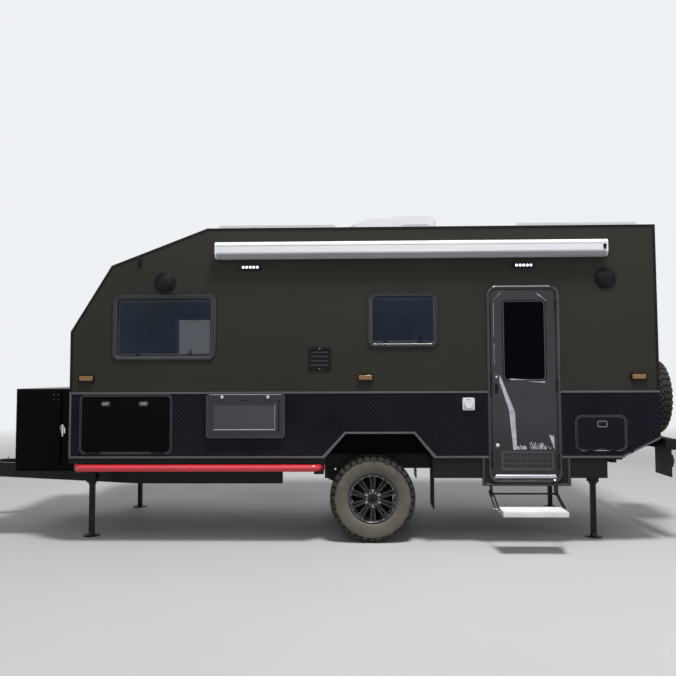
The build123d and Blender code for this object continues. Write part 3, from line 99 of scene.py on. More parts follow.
def wall(side: int, inner: float, outer: float) -> Pair:
    """Y range between two distances out from the wall's outside, on one side."""
    return spread(side, HALF_WIDTH + inner, HALF_WIDTH + outer)


def grown(run: Pair, by: float) -> Pair:
    """A range made wider by the same amount at both ends."""
    return (run[0] - by, run[1] + by)


def cap(count: int, start: int = 0) -> Face:
    """One face over a ring of corners that follow each other."""
    return tuple(range(start, start + count))


def ring_faces(count: int, rows: int, closed: bool = False) -> list[Face]:
    """Faces between rings of corners that follow each other.

    Args:
        count: Number of corners in each ring.
        rows: Number of rings.
        closed: Whether the last ring joins the first.

    Returns:
        The four-sided faces, row by row.
    """
    faces = []
    for row in range(rows if closed else rows - 1):
        a, b = row * count, (row + 1) % rows * count
        for i in range(count):
            j = (i + 1) % count
            faces.append((a + i, a + j, b + j, b + i))
    return faces


def rounded(x: Pair, z: Pair, corner: float, steps: int = 6) -> list[Pair]:
    """Corners of a rectangle with round corners.

    Args:
        x: Range across.
        z: Range up.
        corner: Radius of the corners.
        steps: Number of spans in each corner.

    Returns:
        The outline, anticlockwise.
    """
    centres = (
        (x[1] - corner, z[1] - corner, 0.0), (x[0] + corner, z[1] - corner, 90.0),
        (x[0] + corner, z[0] + corner, 180.0), (x[1] - corner, z[0] + corner, 270.0),
    )
    outline = []
    for centre_x, centre_z, start in centres:
        for step in range(steps + 1):
            turn = radians(start + 90.0 * step / steps)
            outline.append((centre_x + corner * cos(turn), centre_z + corner * sin(turn)))
    return outline


class Form:
    """A mesh being made, in metres in the row frame."""

    def __init__(self) -> None:
        """Start with nothing."""
        self.points: list[Point] = []
        self.faces: list[tuple[int, ...]] = []

    def add(self, points: list[Point], faces: list[tuple[int, ...]]) -> None:
        """Add corners and the faces between them.

        Args:
            points: New corners.
            faces: Faces, as places in the new corners.
        """
        start = len(self.points)
        self.points.extend(tuple(point) for point in points)
        self.faces.extend(tuple(start + place for place in face) for face in faces)

    def block(self, x: Pair, y: Pair, z: Pair, chamfer: float = 0.0015) -> None:
        """Add a square block with chamfered edges.

        Args:
            x: Range along X.
            y: Range along Y.
            z: Range along Z.
            chamfer: Width cut from each edge.
        """
        middle = [(run[0] + run[1]) / 2 for run in (x, y, z)]
        half = [(run[1] - run[0]) / 2 for run in (x, y, z)]
        cut = min(chamfer, min(half) * 0.6)
        signs = [(sx, sy, sz) for sx in (-1, 1) for sy in (-1, 1) for sz in (-1, 1)]
        place = {}
        points = []
        for sign in signs:
            for axis in range(3):
                place[sign, axis] = len(points)
                points.append(
                    tuple(middle[i] + sign[i] * (half[i] - (0 if i == axis else cut)) for i in range(3))
                )
        faces = []
        for axis in range(3):
            first, second = [i for i in range(3) if i != axis]
            for way in (-1, 1):
                ring = []
                for a, b in ((-1, -1), (1, -1), (1, 1), (-1, 1)):
                    sign = [0, 0, 0]
                    sign[axis], sign[first], sign[second] = way, a, b
                    ring.append(place[tuple(sign), axis])
                faces.append(tuple(ring))
            for a, b in ((-1, -1), (1, -1), (1, 1), (-1, 1)):
                low, high = [0, 0, 0], [0, 0, 0]
                low[first], low[second], low[axis] = a, b, -1
                high[first], high[second], high[axis] = a, b, 1
                low, high = tuple(low), tuple(high)
                faces.append((place[low, first], place[high, first], place[high, second], place[low, second]))
        faces.extend((place[sign, 0], place[sign, 1], place[sign, 2]) for sign in signs)
        self.add(points, faces)

    def prism(self, outline: list[Pair], y: Pair, chamfer: float = 0.0) -> None:
        """Carry an outline of (x, z) corners across a range of Y.

        Args:
            outline: Corners in order.
            y: Range of Y.
            chamfer: Bevel between the sides and the face that looks out from the centre plane.
        """
        count = len(outline)
        out = y[0] if abs(y[0]) > abs(y[1]) else y[1]
        back = y[1] if out == y[0] else y[0]
        rings = [[(x, back, z) for x, z in outline]]
        if chamfer:
            rings.append([(x, out - copysign(chamfer, out), z) for x, z in outline])
        face = shrunk(outline, chamfer) if chamfer else outline
        rings.append([(x, out, z) for x, z in face])
        points = [point for ring in rings for point in ring]
        self.add(points, [cap(count), cap(count, len(points) - count)] + ring_faces(count, len(rings)))

    def strip(self, outline: list[Pair], x: Pair) -> None:
        """Carry an outline of (y, z) corners along a range of X."""
        count = len(outline)
        points = [(end, y, z) for end in x for y, z in outline]
        self.add(points, [cap(count), cap(count, count)] + ring_faces(count, 2))

    def band(self, outer: list[Pair], inner: list[Pair], y: Pair) -> None:
        """Add a ring plate between two outlines of (x, z) with as many corners each, across a range of Y."""
        count = len(outer)
        points = [(x, end, z) for end in y for ring in (outer, inner) for x, z in ring]
        faces = []
        for i in range(count):
            j = (i + 1) % count
            for low, high in ((0, 1), (2, 3), (0, 2), (1, 3)):
                a, b = low * count, high * count
                faces.append((a + i, a + j, b + j, b + i))
        self.add(points, faces)

    def frame(self, x: Pair, z: Pair, grow: Pair, corners: Pair, y: Pair, steps: int = 8) -> None:
        """Add a ring plate between two rectangles with round corners.

        Args:
            x: Range across.
            z: Range up.
            grow: How far the outer and the inner rectangle reach past the ranges.
            corners: Radii of the outer and the inner corners.
            y: Range of Y.
            steps: Number of spans in each corner.
        """
        rings = [rounded(grown(x, by), grown(z, by), corner, steps) for by, corner in zip(grow, corners)]
        self.band(*rings, y)

    def bead(self, x: Pair, z: Pair, corner: float, side: int, section: list[Pair], steps: int = 8) -> None:
        """Run a moulded section round a rectangle with round corners.

        Args:
            x: Range across.
            z: Range up.
            corner: Radius of the corners.
            side: The side of the body that it is on.
            section: (distance inside the rectangle, distance from the centre plane) corners.
            steps: Number of spans in each corner.
        """
        points = []
        for inward, out in section:
            ring = rounded(grown(x, -inward), grown(z, -inward), corner - inward, steps)
            points.extend((px, side * out, pz) for px, pz in ring)
        self.add(points, ring_faces(4 * (steps + 1), len(section)))

    def lathe(self, profile: list[Pair], origin: Point, axis: Point, steps: int = 32) -> None:
        """Turn a profile round an axis.

        Args:
            profile: (distance from the axis, distance along it) corners from end to end.
            origin: Where the distances along start.
            axis: Direction of the axis.
            steps: Number of spans round the turn.
        """
        way = Vector(axis).normalized()
        side = way.orthogonal().normalized()
        other = way.cross(side)
        base = Vector(origin)
        points = []
        for radius, along in profile:
            for step in range(steps):
                turn = 2 * pi * step / steps
                spoke = side * cos(turn) + other * sin(turn)
                points.append(tuple(base + way * along + spoke * radius))
        faces = ring_faces(steps, len(profile))
        if profile[0] != profile[-1]:
            for end, start in ((profile[0], 0), (profile[-1], len(points) - steps)):
                if end[0] > 1e-5:
                    faces.append(cap(steps, start))
        self.add(points, faces)

    def screw(self, spot: Point, way: Point, radius: float, height: float) -> None:
        """Add a domed screw head with a socket, standing on a face.

        Args:
            spot: Middle of its seat.
            way: Direction it looks.
            radius: Radius of the head.
            height: How far it stands proud.
        """
        profile = [
            (radius, -0.001), (radius, height * 0.45), (radius * 0.8, height * 0.85),
            (radius * 0.45, height), (radius * 0.38, height * 0.55), (0.0, height * 0.5),
        ]
        self.lathe(profile, spot, way, 12)

    def nut(self, spot: Point, way: Point, radius: float, height: float, steps: int = 6) -> None:
        """Add a hexagon nut with a chamfered top and a washer, standing on a face."""
        self.lathe(
            [(radius * 1.3, -0.001), (radius * 1.3, height * 0.15), (radius, height * 0.16)], spot, way, 20
        )
        self.lathe(
            [(radius, 0.0), (radius, height * 0.85), (radius * 0.85, height), (0.0, height)], spot, way, steps
        )

    def tube(self, path: list[Point], radius: float, steps: int = 12, closed: bool = False) -> None:
        """Sweep a round section along a path.

        Args:
            path: Points of the middle line.
            radius: Radius of the section.
            steps: Spans round the section.
            closed: Whether the path joins up.
        """
        line = [Vector(point) for point in path]
        count = len(line)
        ways = []
        for i in range(count):
            before = line[i - 1] if i or closed else line[0]
            after = line[(i + 1) % count] if i < count - 1 or closed else line[-1]
            ways.append((after - before).normalized())
        side = ways[0].orthogonal().normalized()
        points = []
        for spot, way in zip(line, ways):
            side = (side - way * side.dot(way)).normalized()
            other = way.cross(side)
            for step in range(steps):
                turn = 2 * pi * step / steps
                points.append(tuple(spot + (side * cos(turn) + other * sin(turn)) * radius))
        faces = ring_faces(steps, count, closed)
        if not closed:
            faces += [cap(steps), cap(steps, len(points) - steps)]
        self.add(points, faces)

    def piece(
        self, name: str, finish: "Finish", body: str = "trailer", sharp: float = 35.0
    ) -> bpy.types.Object:
        """Turn the form into an object that rides on a body.

        Args:
            name: The piece's name.
            finish: Its finish.
            body: The body it rides on.
            sharp: Angle in degrees above which an edge stays crisp.

        Returns:
            The finished object.
        """
        mesh = bpy.data.meshes.new(name)
        mesh.from_pydata(self.points, [], self.faces)
        work = bmesh.new()
        work.from_mesh(mesh)
        bmesh.ops.remove_doubles(work, verts=work.verts, dist=1e-6)
        bmesh.ops.recalc_face_normals(work, faces=work.faces)
        for edge in work.edges:
            if len(edge.link_faces) == 2:
                edge.smooth = edge.calc_face_angle(0.0) < radians(sharp)
        for face in work.faces:
            face.smooth = True
        work.to_mesh(mesh)
        work.free()
        mesh.materials.append(finish.material())
        thing = bpy.data.objects.new(name, mesh)
        bpy.context.scene.collection.objects.link(thing)
        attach(thing, body)
        log.info("%s: %d faces on %s", name, len(mesh.polygons), body)
        return thing


def shrunk(outline: list[Pair], depth: float) -> list[Pair]:
    """An outline's corners moved inwards.

    Args:
        outline: Corners, anticlockwise.
        depth: How far in; below zero moves them out.

    Returns:
        The moved corners.
    """
    moved = []
    count = len(outline)
    for index, corner in enumerate(outline):
        here = Vector(corner)
        first = here - Vector(outline[index - 1])
        second = Vector(outline[(index + 1) % count]) - here
        first.normalize()
        second.normalize()
        normal = Vector((-first.y - second.y, first.x + second.x))
        share = max(0.3, 1 + first.dot(second))
        moved.append(tuple(here + normal * (depth / share)))
    return moved


class Grain(Enum):
    """How a finish's fine relief is made."""

    PEEL = "orange peel of sprayed paint"
    CAST = "pitted casting"
    BRUSHED = "long brushed lines"
    MOULDED = "fine moulded leather grain"
    RUBBER = "soft uneven rubber"
    GLOSSY = "almost flat"


class Pattern(Enum):
    """What is laid over a finish's colour."""

    PLAIN = "nothing"
    LINED = "a pale lining on the faces that look into the cabin"
    CELLS = "solar cells on the faces that look up"
    GROOVED = "fine parallel grooves"
    LATTICE = "a faint lattice of crossed lines"
    FADED = "opacity that falls away from the middle of the setting"


@dataclass(frozen=True)
class Finish:
    """One finish: its colours, its gloss and its fine relief."""

    name: str
    slot: str
    colour: Colour
    shade: Colour
    roughness: float = 0.5
    metallic: float = 0.0
    specular: float = 0.5
    coat: float = 0.0
    alpha: float = 1.0
    ior: float = 1.5
    patch: float = 1.2
    grain: Grain = Grain.PEEL
    grain_size: float = 0.004
    grain_depth: float = 0.0002
    dust: float = 0.0
    dust_colour: Colour = (0.23, 0.2, 0.16)
    dust_height: float = 1.0
    edge_colour: Colour = (0.45, 0.45, 0.45)
    edge: float = 0.0
    edge_width: float = 0.002
    pattern: Pattern = Pattern.PLAIN
    emission: float = 0.0

    def material(self) -> bpy.types.Material:
        """Find the finish's material, or build it the first time.

        Returns:
            The material.
        """
        found = bpy.data.materials.get(self.name)
        return found or FinishBuilder(self).build()


class FinishBuilder:
    """Builds the nodes of one finish."""

    cabin_middle: Point = (4.35, 0.0, up(1.8))
    stage_middle: Point = (4.3, 0.0, up(0.0))
    stage_fade: Pair = (7.5, 17.0)
    lattice_pitch: float = 0.0464
    cell_pitches: tuple[tuple[str, float], ...] = (("X", 0.14), ("Y", 0.135))
    finger_pitch: float = 0.0022
    grooves: float = 60.0
    relief_strength: float = 0.6
    coat_roughness: float = 0.08

    def __init__(self, finish: Finish) -> None:
        """Start an empty material for a finish."""
        self.finish = finish
        self.made = bpy.data.materials.new(finish.name)
        self.made.use_nodes = True
        self.tree = self.made.node_tree
        self.place = self.node("ShaderNodeTexCoord").outputs["Object"]

    def node(self, kind: str, inputs: dict[object, object] | None = None, **values: object) -> bpy.types.Node:
        """Add a node, set its plain attributes and feed its inputs."""
        made = self.tree.nodes.new(kind)
        for key, value in values.items():
            setattr(made, key, value)
        self.feed(made, inputs or {})
        return made

    def feed(self, node: bpy.types.Node, inputs: dict[object, object]) -> None:
        """Link a node's inputs to other nodes' outputs, or set their values."""
        for key, value in inputs.items():
            if isinstance(value, Socket):
                self.tree.links.new(value, node.inputs[key])
            else:
                node.inputs[key].default_value = value

    def noise(self, size: float, detail: float = 3.0, stretch: Point = (1, 1, 1)) -> Socket:
        """Noise with lumps of about one size, in metres, stretched along the axes."""
        moved = self.node("ShaderNodeMapping", {"Vector": self.place, "Scale": stretch}).outputs["Vector"]
        inputs = {"Vector": moved, "Scale": 1 / size, "Detail": detail}
        return self.node("ShaderNodeTexNoise", inputs).outputs["Fac"]

    def sum(self, operation: str, first: object, second: object = 0.0) -> Socket:
        """One operation on two values."""
        return self.node("ShaderNodeMath", {0: first, 1: second}, operation=operation).outputs[0]

    def vectors(self, operation: str, first: object, second: object) -> Outputs:
        """The outputs of one operation on two vectors."""
        return self.node("ShaderNodeVectorMath", {0: first, 1: second}, operation=operation).outputs

    def axes(self, vector: Socket) -> Outputs:
        """The X, Y and Z outputs of a vector taken apart."""
        return self.node("ShaderNodeSeparateXYZ", {0: vector}).outputs

    def normal(self) -> Socket:
        """The way that the surface looks."""
        return self.node("ShaderNodeNewGeometry").outputs["Normal"]

    def span(self, value: object, low: float, high: float, start: float, end: float) -> Socket:
        """A value's range turned into another, held at its ends."""
        numbers = dict(enumerate((value, low, high, start, end)))
        return self.node("ShaderNodeMapRange", numbers, clamp=True).outputs[0]

    def mix(self, share: object, first: object, second: object) -> Socket:
        """A mix of two colours."""
        both = [(*colour, 1.0) if isinstance(colour, tuple) else colour for colour in (first, second)]
        inputs = {"Factor": share, "A": both[0], "B": both[1]}
        return self.node("ShaderNodeMix", inputs, data_type="RGBA").outputs["Result"]

    def times(self, first: object, second: object) -> Socket:
        """The product of two values."""
        return self.sum("MULTIPLY", first, second)

    def saw(self, value: object, pitch: float) -> Socket:
        """How far along its pitch a value is, from 0 to 1, again and again."""
        return self.sum("FRACT", self.sum("DIVIDE", value, pitch))

    def edges(self) -> Socket:
        """How near a point is to a convex or concave edge, from 0 to 1."""
        soft = self.node("ShaderNodeBevel", {"Radius": self.finish.edge_width}, samples=4)
        facing = self.vectors("DOT_PRODUCT", soft.outputs["Normal"], self.normal())["Value"]
        return self.span(facing, 0.9, 0.99, 1.0, 0.0)

    def relief(self) -> Socket:
        """The height map of the finish's grain."""
        grain, size = self.finish.grain, self.finish.grain_size
        lumps = {"Vector": self.place, "Scale": 1 / size}
        if grain is Grain.BRUSHED:
            return self.noise(size, 2.0, (0.02, 1.0, 1.0))
        if grain is Grain.CAST:
            pits = self.node("ShaderNodeTexVoronoi", lumps)
            return self.times(pits.outputs["Distance"], self.noise(size * 3))
        if grain is Grain.MOULDED:
            return self.node("ShaderNodeTexVoronoi", lumps, feature="SMOOTH_F1").outputs["Distance"]
        return self.noise(size, 2.0 if grain is Grain.GLOSSY else 4.0)

    def lining(self, colour: Socket) -> Socket:
        """Turn the faces that look into the cabin to a pale lining."""
        inward = self.vectors("SUBTRACT", self.cabin_middle, self.place)[0]
        facing = self.vectors("DOT_PRODUCT", inward, self.normal())["Value"]
        pale = self.mix(self.noise(0.6), (0.62, 0.6, 0.56), (0.54, 0.52, 0.48))
        return self.mix(self.sum("GREATER_THAN", facing, 0.05), colour, pale)

    def lattice(self, colour: Socket) -> Socket:
        """Lay a faint lattice of paler crossed lines over the colour: a painted highlight, standing in for
        the light caught by the checker plate's raised bars.
        """
        axes = self.axes(self.place)
        near = []
        for operation in ("ADD", "SUBTRACT"):
            share = self.saw(self.sum(operation, axes["X"], axes["Z"]), self.lattice_pitch)
            off = self.sum("ABSOLUTE", self.sum("SUBTRACT", share, 0.5))
            near.append(self.span(off, 0.36, 0.5, 0.0, 1.0))
        faint = self.times(self.sum("MAXIMUM", *near), self.span(self.noise(0.4), 0.35, 0.65, 0.2, 0.9))
        return self.mix(faint, colour, self.finish.edge_colour)

    def cells(self, colour: Socket) -> Socket:
        """Lay dark cells with pale lines on the faces that look up."""
        axes = self.axes(self.place)
        lines = []
        for axis, pitch in self.cell_pitches:
            lines.append(self.sum("LESS_THAN", self.saw(axes[axis], pitch), 0.035))
        fine = self.sum("LESS_THAN", self.saw(axes["Y"], self.finger_pitch), 0.12)
        cell = self.mix(fine, (0.006, 0.008, 0.022), (0.03, 0.033, 0.05))
        face = self.mix(self.sum("MAXIMUM", *lines), cell, (0.16, 0.17, 0.18))
        return self.mix(self.sum("GREATER_THAN", self.axes(self.normal())["Z"], 0.7), colour, face)

    def fade(self) -> Socket:
        """Opacity that falls away from the middle of the setting."""
        away = self.vectors("DISTANCE", self.place, self.stage_middle)["Value"]
        return self.span(away, *self.stage_fade, 1.0, 0.0)

    def settled(self) -> Socket:
        """How much dust lies at a point, most of it low down."""
        low = self.span(self.axes(self.place)["Z"], *levels(0.0, self.finish.dust_height), 1.0, 0.0)
        cloud = self.span(self.noise(0.12, 8.0), 0.35, 0.75, 0.15, 1.0)
        return self.times(self.times(low, cloud), self.finish.dust)

    def build(self) -> bpy.types.Material:
        """Make the material.

        Returns:
            The finished material.
        """
        finish = self.finish
        patches = self.span(self.noise(finish.patch, 5.0), 0.3, 0.7, 0.0, 1.0)
        colour = self.mix(patches, finish.colour, finish.shade)
        rough = self.span(self.noise(finish.patch * 0.3, 6.0), 0.25, 0.75, -0.06, 0.07)
        rough = self.sum("ADD", rough, finish.roughness)
        if finish.pattern is Pattern.CELLS:
            colour = self.cells(colour)
        if finish.pattern is Pattern.LATTICE:
            colour = self.lattice(colour)
        # Edges drift to the edge colour: rubbed wear on the chassis paint, dust and a painted highlight on
        # the tyre's blocks, and a painted highlight on the alloy's spokes.
        if finish.edge:
            share = self.times(self.edges(), finish.edge)
            wear_and_edge_highlight = self.times(share, self.span(self.noise(0.05), 0.35, 0.6, 0.5, 1.0))
            colour = self.mix(wear_and_edge_highlight, colour, finish.edge_colour)
        if finish.dust:
            share = self.settled()
            colour = self.mix(share, colour, finish.dust_colour)
            rough = self.sum("ADD", rough, self.times(share, 0.35))
        if finish.pattern is Pattern.LINED:
            colour = self.lining(colour)
        height = self.relief()
        if finish.pattern is Pattern.GROOVED:
            inputs = {"Vector": self.place, "Scale": self.grooves}
            wave = self.node("ShaderNodeTexWave", inputs, bands_direction="Z")
            height = self.sum("ADD", height, self.times(wave.outputs["Fac"], 2.0))
        inputs = {"Strength": self.relief_strength, "Distance": finish.grain_depth, "Height": height}
        bump = self.node("ShaderNodeBump", inputs)
        settings = {
            "Base Color": colour,
            "Roughness": rough,
            "Normal": bump.outputs["Normal"],
            "Metallic": finish.metallic,
            "Specular IOR Level": finish.specular,
            "IOR": finish.ior,
            "Coat Weight": finish.coat,
            "Coat Roughness": self.coat_roughness,
            "Alpha": self.fade() if finish.pattern is Pattern.FADED else finish.alpha,
        }
        if finish.emission:
            settings |= {"Emission Color": (*finish.colour, 1.0), "Emission Strength": finish.emission}
        self.feed(self.tree.nodes["Principled BSDF"], settings)
        return self.made


OLIVE = Finish(
    "olive_coach_paint", "olive_paint", (0.0255, 0.0232, 0.0176), (0.0215, 0.0198, 0.0150),
    roughness=0.42, specular=0.17, grain_size=0.003, grain_depth=0.00012, pattern=Pattern.LINED,
)
# Its lattice of paler lines, in the edge colour, is a painted highlight on the checker plate.
CHECKER = Finish(
    "checker_plate_coating", "checker_black", (0.0028, 0.0031, 0.0064), (0.0021, 0.0024, 0.0050),
    roughness=0.3, specular=0.1, patch=0.6, grain_size=0.0025, grain_depth=0.0001, dust=0.08, dust_height=1.1,
    pattern=Pattern.LATTICE, edge_colour=(0.0200, 0.0210, 0.0320),
)
HATCH_SKIN = Finish(
    "hatch_skin_coating", "checker_black", (0.0022, 0.0021, 0.0030), (0.0016, 0.0015, 0.0022),
    roughness=0.3, specular=0.05, grain_size=0.003, grain_depth=0.0001,
)
LOCKER_SKIN = Finish(
    "locker_skin_coating", "checker_black", (0.0058, 0.0055, 0.0090), (0.0046, 0.0044, 0.0072),
    roughness=0.3, specular=0.12, grain_size=0.003, grain_depth=0.0001,
)
BLIND = Finish(
    "pleated_blind_cloth", "black_plastic", (0.016, 0.020, 0.030), (0.012, 0.015, 0.023),
    roughness=0.8, specular=0.1, grain=Grain.MOULDED, grain_size=0.002,
)
STEEL = Finish(
    "black_chassis_paint", "black_steel", (0.0042, 0.0041, 0.0044), (0.0066, 0.0063, 0.0062),
    roughness=0.42, specular=0.2, patch=0.3, grain=Grain.CAST, grain_size=0.006, grain_depth=0.0003,
    dust=0.1, dust_height=0.8, edge=0.2, edge_colour=(0.05, 0.05, 0.05),
)
# A darker copy of the chassis paint: painted shade for the insides of the wheel arches and the drums, where
# shadow falls.
ARCH_SHADE_STEEL = Finish(
    "arch_painted_shade", "black_steel", (0.0008, 0.0009, 0.0020), (0.0012, 0.0013, 0.0026),
    roughness=0.6, specular=0.08, patch=0.3, grain=Grain.CAST, grain_size=0.006, grain_depth=0.0003,
)
BRIGHT = Finish(
    "bright_strip", "bright_trim", (0.55, 0.54, 0.57), (0.42, 0.41, 0.44),
    roughness=0.3, metallic=0.5, patch=0.4, grain=Grain.BRUSHED, grain_depth=0.00005,
)
DULL_TRIM = Finish(
    "dull_strip", "bright_trim", (0.125, 0.12, 0.135), (0.085, 0.082, 0.092),
    roughness=0.36, metallic=0.15, specular=0.3, grain=Grain.BRUSHED, grain_size=0.003, grain_depth=0.00005,
)
ZINC = Finish(
    "zinc_plating", "galvanised", (0.33, 0.34, 0.35), (0.22, 0.23, 0.24),
    roughness=0.4, metallic=0.85, patch=0.05, grain=Grain.CAST, grain_size=0.01,
    dust=0.2, dust_height=0.9,
)
WHITE = Finish(
    "white_moulding", "white_moulding", (0.80, 0.80, 0.82), (0.74, 0.74, 0.76),
    roughness=0.32, grain=Grain.MOULDED, grain_size=0.0015, grain_depth=0.00006,
)
AWNING_GREY = Finish(
    "awning_face_coating", "white_moulding", (0.37, 0.36, 0.40), (0.31, 0.30, 0.34),
    roughness=0.35, metallic=0.1, grain=Grain.BRUSHED, grain_size=0.003, grain_depth=0.00005,
)
PLASTIC = Finish(
    "black_moulding", "black_plastic", (0.0030, 0.0029, 0.0033), (0.0046, 0.0044, 0.0048),
    roughness=0.5, specular=0.18, grain=Grain.MOULDED, grain_size=0.0012, grain_depth=0.00012, dust=0.03,
)
# Its lighter patches are painted reflection, standing in for the soft band of light reflected in the glossy
# door.
DOOR_GLOSS = Finish(
    "door_gloss_moulding", "black_plastic", (0.0036, 0.0034, 0.0068), (0.0105, 0.0100, 0.0150),
    roughness=0.13, specular=0.42, coat=0.45, patch=0.45, grain=Grain.GLOSSY, grain_size=0.35,
    grain_depth=0.003,
)
GREY_PLASTIC = Finish(
    "grey_moulding", "black_plastic", (0.075, 0.072, 0.082), (0.055, 0.053, 0.06),
    roughness=0.35, specular=0.3, grain=Grain.MOULDED, grain_size=0.0015, grain_depth=0.0001,
)
GLASS = Finish(
    "tinted_acrylic", "dark_glass", (0.012, 0.028, 0.055), (0.0040, 0.0095, 0.0210),
    roughness=0.05, specular=0.25, ior=1.52, alpha=0.46, patch=0.7, grain=Grain.GLOSSY, grain_size=0.5,
    grain_depth=0.002,
)
AMBER = Finish(
    "grooved_amber_lens", "amber_lens", (0.30, 0.135, 0.018), (0.18, 0.078, 0.011),
    roughness=0.15, coat=0.5, patch=0.03, pattern=Pattern.GROOVED, grain_depth=0.0003,
)
RED_LENS = Finish(
    "grooved_red_lens", "red_lens", (0.4, 0.008, 0.008), (0.3, 0.005, 0.006),
    roughness=0.15, coat=0.6, patch=0.03, pattern=Pattern.GROOVED, grain_depth=0.0003,
)
CLEAR_LENS = Finish(
    "clear_lens", "white_moulding", (0.75, 0.77, 0.8), (0.6, 0.62, 0.66),
    roughness=0.1, coat=0.8, patch=0.02, pattern=Pattern.GROOVED, grain_depth=0.0003,
)
RED = Finish(
    "red_powder_coat", "red_paint", (0.64, 0.013, 0.030), (0.54, 0.010, 0.024),
    roughness=0.2, coat=0.5, patch=0.5, dust=0.06, dust_height=0.9,
)
# Its pale brown edges are partly dust and partly a painted highlight on the tread blocks.
TYRE = Finish(
    "dusty_tyre_rubber", "tyre_rubber", (0.026, 0.0235, 0.020), (0.044, 0.039, 0.032),
    roughness=0.75, specular=0.2, patch=0.15, grain=Grain.RUBBER, grain_size=0.003, grain_depth=0.0004,
    edge=0.75, edge_colour=(0.16, 0.14, 0.105), edge_width=0.006,
)
SIDEWALL = Finish(
    "dusty_sidewall", "tyre_rubber", (0.132, 0.116, 0.095), (0.098, 0.087, 0.072),
    roughness=0.6, specular=0.3, patch=0.12, grain=Grain.RUBBER, grain_depth=0.0003,
)
# Its pale grey edges are a painted highlight along the spokes and lip.
ALLOY = Finish(
    "black_alloy", "alloy_black", (0.0042, 0.0042, 0.0048), (0.0062, 0.0062, 0.0068),
    roughness=0.26, metallic=0.2, specular=0.35, coat=0.3, patch=0.1, grain_depth=0.0001,
    edge=0.85, edge_colour=(0.34, 0.34, 0.35), edge_width=0.003,
)
CHROME = Finish(
    "chrome_plating", "galvanised", (0.7, 0.71, 0.72), (0.6, 0.61, 0.62),
    roughness=0.15, metallic=1.0, patch=0.1, grain_depth=0.00005,
)
RUBBER = Finish(
    "black_rubber", "rubber", (0.0046, 0.0046, 0.0050), (0.0075, 0.0073, 0.0072),
    roughness=0.6, specular=0.2, patch=0.1, grain=Grain.RUBBER, grain_size=0.003, grain_depth=0.0003,
    dust=0.1, dust_height=0.6,
)
LAMINATE = Finish(
    "slate_laminate", "grey_laminate", (0.030, 0.0285, 0.035), (0.025, 0.024, 0.030),
    roughness=0.4, specular=0.3, grain=Grain.MOULDED, grain_size=0.002, grain_depth=0.00008,
)
LAMINATE_PANEL = Finish(
    "slate_laminate_panel", "grey_laminate", (0.060, 0.057, 0.070), (0.052, 0.050, 0.061),
    roughness=0.35, specular=0.3, grain=Grain.MOULDED, grain_size=0.002, grain_depth=0.00008,
)
STEP_SILVER = Finish(
    "silver_tread_coating", "step_silver", (0.76, 0.76, 0.76), (0.68, 0.68, 0.68),
    roughness=0.42, metallic=0.2, patch=0.2, grain=Grain.CAST, grain_size=0.003,
    dust=0.12, dust_height=0.6,
)
SOLAR = Finish(
    "solar_cells_and_frame", "solar_cells", (0.68, 0.69, 0.7), (0.6, 0.61, 0.62),
    roughness=0.3, specular=0.15, coat=0.1, pattern=Pattern.CELLS, grain_depth=0.00005,
)
FILM = Finish(
    "peeling_film", "white_moulding", (0.64, 0.62, 0.68), (0.40, 0.39, 0.45),
    roughness=0.25, alpha=0.85, patch=0.05, grain_size=0.02, grain_depth=0.002,
)
LINER = Finish(
    "cabin_liner", "white_moulding", (0.55, 0.54, 0.51), (0.48, 0.47, 0.44),
    roughness=0.6, grain=Grain.MOULDED, grain_size=0.003, grain_depth=0.0001,
)
FLOOR = Finish(
    "pale_floor", "white_moulding", (0.50, 0.50, 0.495), (0.47, 0.47, 0.465),
    roughness=0.7, specular=0.2, patch=3.0, grain_size=0.02, grain_depth=0.0004, pattern=Pattern.FADED,
)
TRIM = Finish(
    "edge_strip_coating", "bright_trim", (0.120, 0.115, 0.130), (0.088, 0.084, 0.096),
    roughness=0.36, metallic=0.15, specular=0.3, grain=Grain.BRUSHED, grain_depth=0.00005,
)
GLOSS_FRAME = Finish(
    "window_frame_gloss", "black_plastic", (0.0024, 0.0027, 0.0038), (0.0018, 0.0020, 0.0030),
    roughness=0.16, specular=0.4, coat=0.4, grain=Grain.GLOSSY, grain_size=0.3, grain_depth=0.001,
)
DOOR_GLASS = Finish(
    "black_door_glass", "dark_glass", (0.0008, 0.0010, 0.0028), (0.0005, 0.0006, 0.0018),
    roughness=0.05, specular=0.03, alpha=0.95, patch=0.7, grain=Grain.GLOSSY, grain_size=0.5,
    grain_depth=0.002,
)
LED = Finish(
    "lit_lamp_lens", "white_moulding", (0.95, 0.96, 1.0), (0.9, 0.92, 1.0),
    roughness=0.1, coat=0.5, patch=0.02, grain_depth=0.0001, emission=1.6,
)

